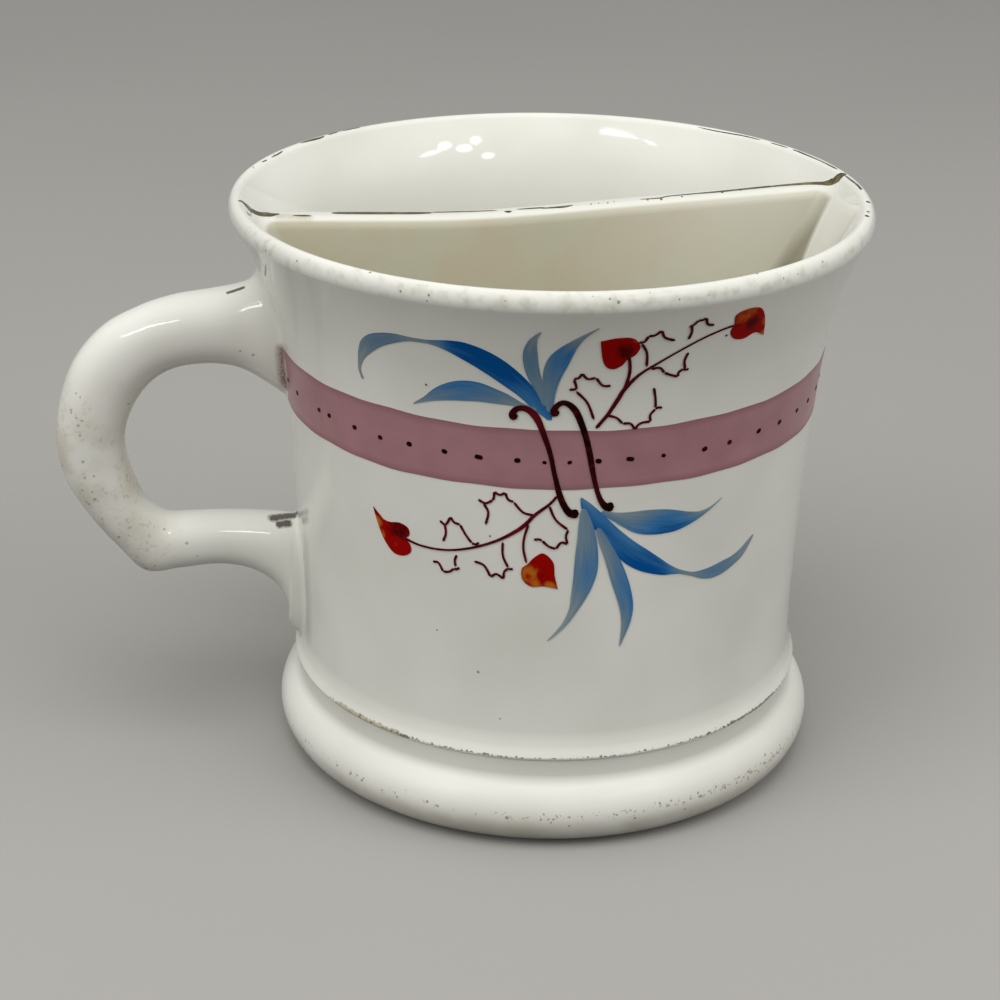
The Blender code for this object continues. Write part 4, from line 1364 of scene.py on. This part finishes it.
def divider_place(size, side, share, across, z):
    """A point of the divider: its share of the way from the middle to the wall, and its place in the
    section."""
    y = size.divider_offset + across
    gap = math.sqrt(side.value(z) ** 2 - y ** 2) * (1 - abs(share))
    y += fillet(gap, size.divider_joint) if across > 0 else -fillet(gap, size.divider_fillet)
    x = math.copysign(math.sqrt(side.value(z) ** 2 - y ** 2) - gap + size.coat, share)
    return fired(size, Matrix.Rotation(size.divider_turn, 3, "Z") @ Vector((x, y, z))) + AXIS


class MUG_OT_divider(bpy.types.Operator):
    """Lofts the divider across the mug, with its top edge sagging and its ends worked into the wall"""
    bl_idname = "mug.divider"
    bl_label = "Divider"

    def execute(self, context):
        size, tint = context.scene.mug_sizes, context.scene.mug_colours
        side = inner_side(size)
        reach = side.value(size.height - size.lip)
        shares = [math.sin(math.pi * (i / DIVIDER_COLUMNS - 0.5)) for i in range(DIVIDER_COLUMNS + 1)]
        sections = [divider_section(size, divider_top(size, side, share * reach)) for share in shares]
        rows = len(sections[0]) - 1

        def place(u, v):
            i = round(u * DIVIDER_COLUMNS)
            return divider_place(size, side, shares[i], *sections[i][round(v * rows)])

        piece = laid("divider_slab", DIVIDER_COLUMNS, rows, place)
        edit(piece)
        bpy.ops.mesh.remove_doubles(threshold=MERGE)
        bpy.ops.mesh.fill_holes(sides=rows)
        bpy.ops.mesh.select_all(action="SELECT")
        close_up()
        # The divider's film gets a painted shadow in the soap pocket's right corner
        material = soap_stain("divider_glaze", tint, (0.0, -1.0, -0.6), painted_corner_shadow(tint))
        finish(piece, material, "soap_stained_glaze", "divider")
        return {"FINISHED"}


class MUG_OT_shelf(bpy.types.Operator):
    """Cuts the half-moon soap shelf and drills its drain holes"""
    bl_idname = "mug.shelf"
    bl_label = "Soap shelf"

    def execute(self, context):
        size, tint = context.scene.mug_sizes, context.scene.mug_colours
        side = inner_side(size)
        thick = SHELF_HIGH.z - SHELF_LOW.z
        middle = (SHELF_HIGH.z + SHELF_LOW.z) / 2
        turn = Matrix.Rotation(size.divider_turn, 3, "Z")
        front = size.divider_offset - size.divider_thick / 2
        bpy.ops.object.select_all(action="DESELECT")
        bpy.ops.mesh.primitive_cylinder_add(vertices=TURN_STEPS, radius=side.value(SHELF_HIGH.z) + size.coat,
                                            depth=thick, location=AXIS + Vector((0.0, 0.0, middle)))
        piece = start_piece("pierced_shelf")
        bpy.ops.object.transform_apply(location=True, rotation=False, scale=False)
        edit(piece)
        bpy.ops.mesh.bisect(plane_co=AXIS + turn @ Vector((0.0, front + size.coat, 0.0)),
                            plane_no=turn @ Vector((0.0, 1.0, 0.0)), use_fill=True, clear_outer=True)
        bpy.ops.object.mode_set(mode="OBJECT")
        centre = Vector((0.0, front - size.drain_setback, middle))
        ring = [Vector((size.drain_ring * math.cos(a), size.drain_ring * math.sin(a), 0.0))
                for a in (2 * math.pi * i / DRAIN_COUNT for i in range(DRAIN_COUNT))]
        for offset in [Vector(), *ring]:
            bpy.ops.object.select_all(action="DESELECT")
            bpy.ops.mesh.primitive_cylinder_add(vertices=DRAIN_SIDES, radius=size.drain_hole / 2,
                                                depth=thick * 3, location=AXIS + turn @ (centre + offset))
            drill = start_piece("drill")
            modified(piece, "BOOLEAN", operation="DIFFERENCE", object=drill, solver="EXACT")
            bpy.data.objects.remove(drill, do_unlink=True)
        modified(piece, "BEVEL", width=size.shelf_edge, segments=4, limit_method="ANGLE",
                 angle_limit=math.radians(50.0))
        finish(piece, soap_stain("shelf_glaze", tint, (0.0, 0.0, 1.0)), "soap_stained_glaze", "soap_shelf")
        return {"FINISHED"}


class MUG_OT_band(bpy.types.Operator):
    """Paints the pink band round the wall, and its row of dots"""
    bl_idname = "mug.band"
    bl_label = "Band and dots"

    def execute(self, context):
        size, tint = context.scene.mug_sizes, context.scene.mug_colours
        side = outer_side(size)
        round_wall = 2 * math.pi * size.band_radius

        def place(u, v):
            turn = 2 * math.pi * u
            sway = math.sin(3 * turn + 1.0) + 0.6 * math.sin(11 * turn) + 0.4 * math.sin(29 * turn)
            height = size.stripe_bottom + (size.stripe_top - size.stripe_bottom) * v
            height += BAND_SWAY * sway * (2 * v - 1)
            return on_wall(size, side, (u - 0.5) * round_wall, height, BAND_LIFT * size.coat)

        def paint(u, v):
            return max(0.0, 1.0 - (1.0 - abs(2 * v - 1)) / BAND_EDGE)

        stripe = laid("stripe", BAND_COLUMNS, BAND_ROWS, place, paint)
        edit(stripe)
        bpy.ops.mesh.remove_doubles(threshold=MERGE)
        bpy.ops.object.mode_set(mode="OBJECT")
        band = coated(size, "pink_band", [stripe])
        edit(band)
        close_up()
        finish(band, rose_enamel(tint), "porcelain_glaze")

        chance = random.Random(5)
        gap = round_wall / MM - (DOTS[-1][0] - DOTS[0][0])
        rest = [(DOTS[-1][0] + DOT_PITCH * i, *DOTS[0][1:]) for i in range(1, int(gap / DOT_PITCH))]
        dots = []
        for along, half, reach in DOTS + rest:
            height = DOT_HEIGHT + chance.uniform(-DOT_STRAY, DOT_STRAY)
            tilt = chance.uniform(-DOT_TILT, DOT_TILT)
            dots.append([(along - reach, height - tilt, half), (along, height, half),
                         (along + reach, height + tilt, half)])
        for along, height, half in DROPS:
            dots.append([(along - half, height, half), (along + half, height, half)])
        strokes = [stroke(size, side, dot, DOT_LIFT * size.coat) for dot in dots]
        material = enamel("maroon_dots", tint.maroon, tint.maroon_thin)
        finish(coated(size, "band_dots", strokes), material, "porcelain_glaze")
        return {"FINISHED"}


class MUG_OT_leaves(bpy.types.Operator):
    """Paints the two sprays of blue leaves"""
    bl_idname = "mug.leaves"
    bl_label = "Blue leaves"

    def execute(self, context):
        size, tint = context.scene.mug_sizes, context.scene.mug_colours
        side = outer_side(size)
        strokes = []
        for i, (lean, leaf) in enumerate(BLUE_LEAVES):
            lift = (LEAF_LIFT + LEAF_STEP * i) * size.coat
            strokes.append(stroke(size, side, leaf, lift, LEAF_ROWS, LEAF_STEPS, lean))
        finish(coated(size, "blue_leaves", strokes), cobalt_enamel(tint), "porcelain_glaze")
        return {"FINISHED"}


class MUG_OT_sprigs(bpy.types.Operator):
    """Paints the hooked bars, the stems, the thorny leaf outlines and the heart buds"""
    bl_idname = "mug.sprigs"
    bl_label = "Sprigs"

    def execute(self, context):
        size, tint = context.scene.mug_sizes, context.scene.mug_colours
        side = outer_side(size)
        bars = [stroke(size, side, bar, BAR_LIFT * size.coat, BAR_ROWS) for bar in HOOKED_BARS]
        material = enamel("maroon_bars", tint.maroon, tint.maroon_thin)
        finish(coated(size, "hooked_bars", bars), material, "porcelain_glaze")
        lines = [stroke(size, side, stem, STEM_LIFT * size.coat) for stem in STEMS]
        halves = (THORN_END_HALF_WIDTH, THORN_HALF_WIDTH, THORN_END_HALF_WIDTH)
        for thorny in THORNY_LINES:
            for i in range(0, len(thorny) - 2, 2):
                hollow = [(*point, half) for point, half in zip(thorny[i:i + 3], halves)]
                lines.append(stroke(size, side, hollow, THORN_LIFT * size.coat))
        material = enamel("maroon_lines", tint.maroon_line, tint.maroon_faint)
        finish(coated(size, "thorny_stems", lines), material, "porcelain_glaze")
        buds = [self.bud(size, side, *bud) for bud in HEART_BUDS]
        finish(coated(size, "heart_buds", buds), bud_enamel(tint), "porcelain_glaze")
        return {"FINISHED"}

    def bud(self, size, side, one, other, dabs):
        """One heart, laid out in rings from its outline to its middle."""
        outline = smooth(one, STROKE_STEPS)[:-1] + smooth(other, STROKE_STEPS)
        area = sum(a[0] * b[1] - b[0] * a[1] for a, b in zip(outline, outline[1:]))
        if area < 0:
            outline.reverse()
        count = len(outline) - 1
        middle = [sum(p[i] for p in outline[1:]) / count for i in (0, 1)]

        def flat(u, v):
            point = at(outline, u * count)
            return [p + (m - p) * v for p, m in zip(point, middle)]

        def place(u, v):
            x, z = flat(u, v)
            return on_wall(size, side, x * MM, z * MM, BUD_LIFT * size.coat)

        def paint(u, v):
            tone = BUD_GROUND
            for x, z, reach, shade in dabs:
                share = max(1.0 - math.dist(flat(u, v), (x, z)) / reach, 0.0)
                tone += (shade - tone) * min(1.6 * share, 1.0)
            return tone

        piece = laid("bud", count, BUD_ROWS, place, paint)
        edit(piece)
        bpy.ops.mesh.remove_doubles(threshold=MERGE)
        bpy.ops.object.mode_set(mode="OBJECT")
        return piece


class MUG_OT_gilding(bpy.types.Operator):
    """Lays what is left of the gilding on the lip and on the divider's top edge"""
    bl_idname = "mug.gilding"
    bl_label = "Gilding"

    def execute(self, context):
        size, tint = context.scene.mug_sizes, context.scene.mug_colours
        graph = context.evaluated_depsgraph_get()
        under = [bpy.data.objects[name] for name in ("glazed_wall", "divider_slab")]
        trees = [BVHTree.FromObject(piece, graph) for piece in under]
        loose = [[(x - half, y, half), (x + half, y, half)] for x, y, half in GILT_GRAINS]
        strips = [traced(trees, stations, size.coat) for stations in GILDING + loose]
        finish(coated(size, "rim_gilding", strips), gilding(tint), "porcelain_glaze")
        return {"FINISHED"}


class MUG_OT_stage(bpy.types.Operator):
    """Sets the plain floor, the soft light and the camera"""
    bl_idname = "mug.stage"
    bl_label = "Stage"

    def execute(self, context):
        stage, tint = context.scene.mug_stage, context.scene.mug_colours
        self.floor(stage, tint)
        self.lamp("key_lamp", Vector(stage.key_place), stage.key_width, stage.key_power)
        right = Vector(stage.side_place)
        self.lamp("right_lamp", right, stage.side_width, stage.side_power)
        self.lamp("left_lamp", right * Vector((-1.0, 1.0, 1.0)), stage.side_width, stage.side_power)
        for window in WINDOWS:
            self.window(stage, *window)
        handle = bpy.data.collections.new("handle_only")
        handle.objects.link(bpy.data.objects["ear_handle"])
        for window in HANDLE_WINDOWS:
            self.window(stage, *window).light_linking.receiver_collection = handle
        world = bpy.data.worlds.new("even_light")
        world.use_nodes = True
        background = world.node_tree.nodes["Background"]
        background.inputs["Color"].default_value = (*tint.world, 1.0)
        background.inputs["Strength"].default_value = stage.sky_level
        context.scene.world = world
        context.scene.camera = self.camera(stage)
        context.scene.view_settings.view_transform = "Standard"
        return {"FINISHED"}

    def floor(self, stage, tint):
        """A pale floor that throws less light back on to the mug than it shows."""
        bpy.ops.object.select_all(action="DESELECT")
        bpy.ops.mesh.primitive_plane_add(size=stage.floor_side)
        floor = start_piece("floor")
        material, tree, shader, coords = new_material("pale_floor", 0.7, 0.2)
        seen = blend(tree, noise(tree, coords, 180.0, 0.3, 0.7), tint.floor, [c * 0.96 for c in tint.floor])
        path = add(tree, "ShaderNodeLightPath").outputs
        straight = path["Is Camera Ray"]
        for mirrored in ("Is Glossy Ray", "Is Transmission Ray"):
            straight = add(tree, "ShaderNodeMath", {0: straight, 1: path[mirrored]}, operation="MAXIMUM")
        link_colour(tree, shader, blend(tree, straight, tint.floor_bounce, seen))
        floor.data.materials.append(material)

    def lamp(self, name, place, width, power):
        """A soft square lamp that faces the mug."""
        turn = (-place).to_track_quat("-Z", "Y").to_euler()
        bpy.ops.object.light_add(type="AREA", location=place, rotation=turn)
        made = bpy.context.object
        made.name = name
        made.data.shape = "SQUARE"
        made.data.size = width
        made.data.energy = power
        made.visible_glossy = False

    def window(self, stage, left, left_rise, right, right_rise, depth):
        """A small bright oval that only shines in the glaze, between the middles of its two sides."""
        start = self.away(left, left_rise) * WINDOW_DISTANCE
        end = self.away(right, right_rise) * WINDOW_DISTANCE
        out = (start + end).normalized()
        across = (end - start).normalized()
        across = (across - out * across.dot(out)).normalized()
        turn = Matrix((across, out.cross(across), out)).transposed().to_euler()
        place = AXIS + Vector((0.0, 0.0, stage.window_middle)) + (start + end) / 2
        bpy.ops.object.light_add(type="AREA", location=place, rotation=turn)
        made = bpy.context.object
        made.name = "window"
        made.data.shape = "ELLIPSE"
        made.data.size = (end - start).length
        made.data.size_y = depth
        area = math.pi / 4 * made.data.size * depth
        made.data.energy = stage.window_level * math.pi * area
        made.visible_diffuse = False
        return made

    def camera(self, stage):
        """The camera, at the photograph's viewing angle."""
        right, up = Vector(stage.camera_right), Vector(stage.camera_up)
        turn = Matrix((right, up, right.cross(up))).transposed().to_euler()
        bpy.ops.object.camera_add(location=stage.camera_place, rotation=turn)
        camera = bpy.context.object
        camera.data.lens = stage.lens
        camera.data.sensor_width = 36.0
        camera.data.clip_start = 0.01
        return camera

    def away(self, side, rise):
        """The direction at degrees round from the front and up."""
        azimuth, elevation = math.radians(side), math.radians(rise)
        level = Vector((math.sin(azimuth), -math.cos(azimuth), 0.0))
        return level * math.cos(elevation) + Vector((0.0, 0.0, math.sin(elevation)))


class MUG_PT_sidebar(bpy.types.Panel):
    """Lists the mug's steps, sizes and colours"""
    bl_label = "Painted shaving mug"
    bl_space_type = "VIEW_3D"
    bl_region_type = "UI"
    bl_category = "Mug"

    def draw(self, context):
        for step in STEPS:
            self.layout.operator(step.bl_idname)
        for group in (context.scene.mug_sizes, context.scene.mug_colours, context.scene.mug_stage):
            column = self.layout.column()
            for name in group.bl_rna.properties.keys():
                if name not in ("rna_type", "name"):
                    column.prop(group, name)


STEPS = (MUG_OT_wall, MUG_OT_foot, MUG_OT_floor, MUG_OT_handle, MUG_OT_divider, MUG_OT_shelf, MUG_OT_band,
         MUG_OT_leaves, MUG_OT_sprigs, MUG_OT_gilding, MUG_OT_stage)
CLASSES = (MugSizes, MugColours, MugStage, *STEPS, MUG_PT_sidebar)


def register():
    for kind in CLASSES:
        bpy.utils.register_class(kind)
    bpy.types.Scene.mug_sizes = PointerProperty(type=MugSizes)
    bpy.types.Scene.mug_colours = PointerProperty(type=MugColours)
    bpy.types.Scene.mug_stage = PointerProperty(type=MugStage)


def unregister():
    del bpy.types.Scene.mug_stage
    del bpy.types.Scene.mug_colours
    del bpy.types.Scene.mug_sizes
    for kind in reversed(CLASSES):
        bpy.utils.unregister_class(kind)


def main():
    register()
    for step in STEPS:
        family, name = step.bl_idname.split(".")
        getattr(getattr(bpy.ops, family), name)()


if __name__ == "__main__":
    main()
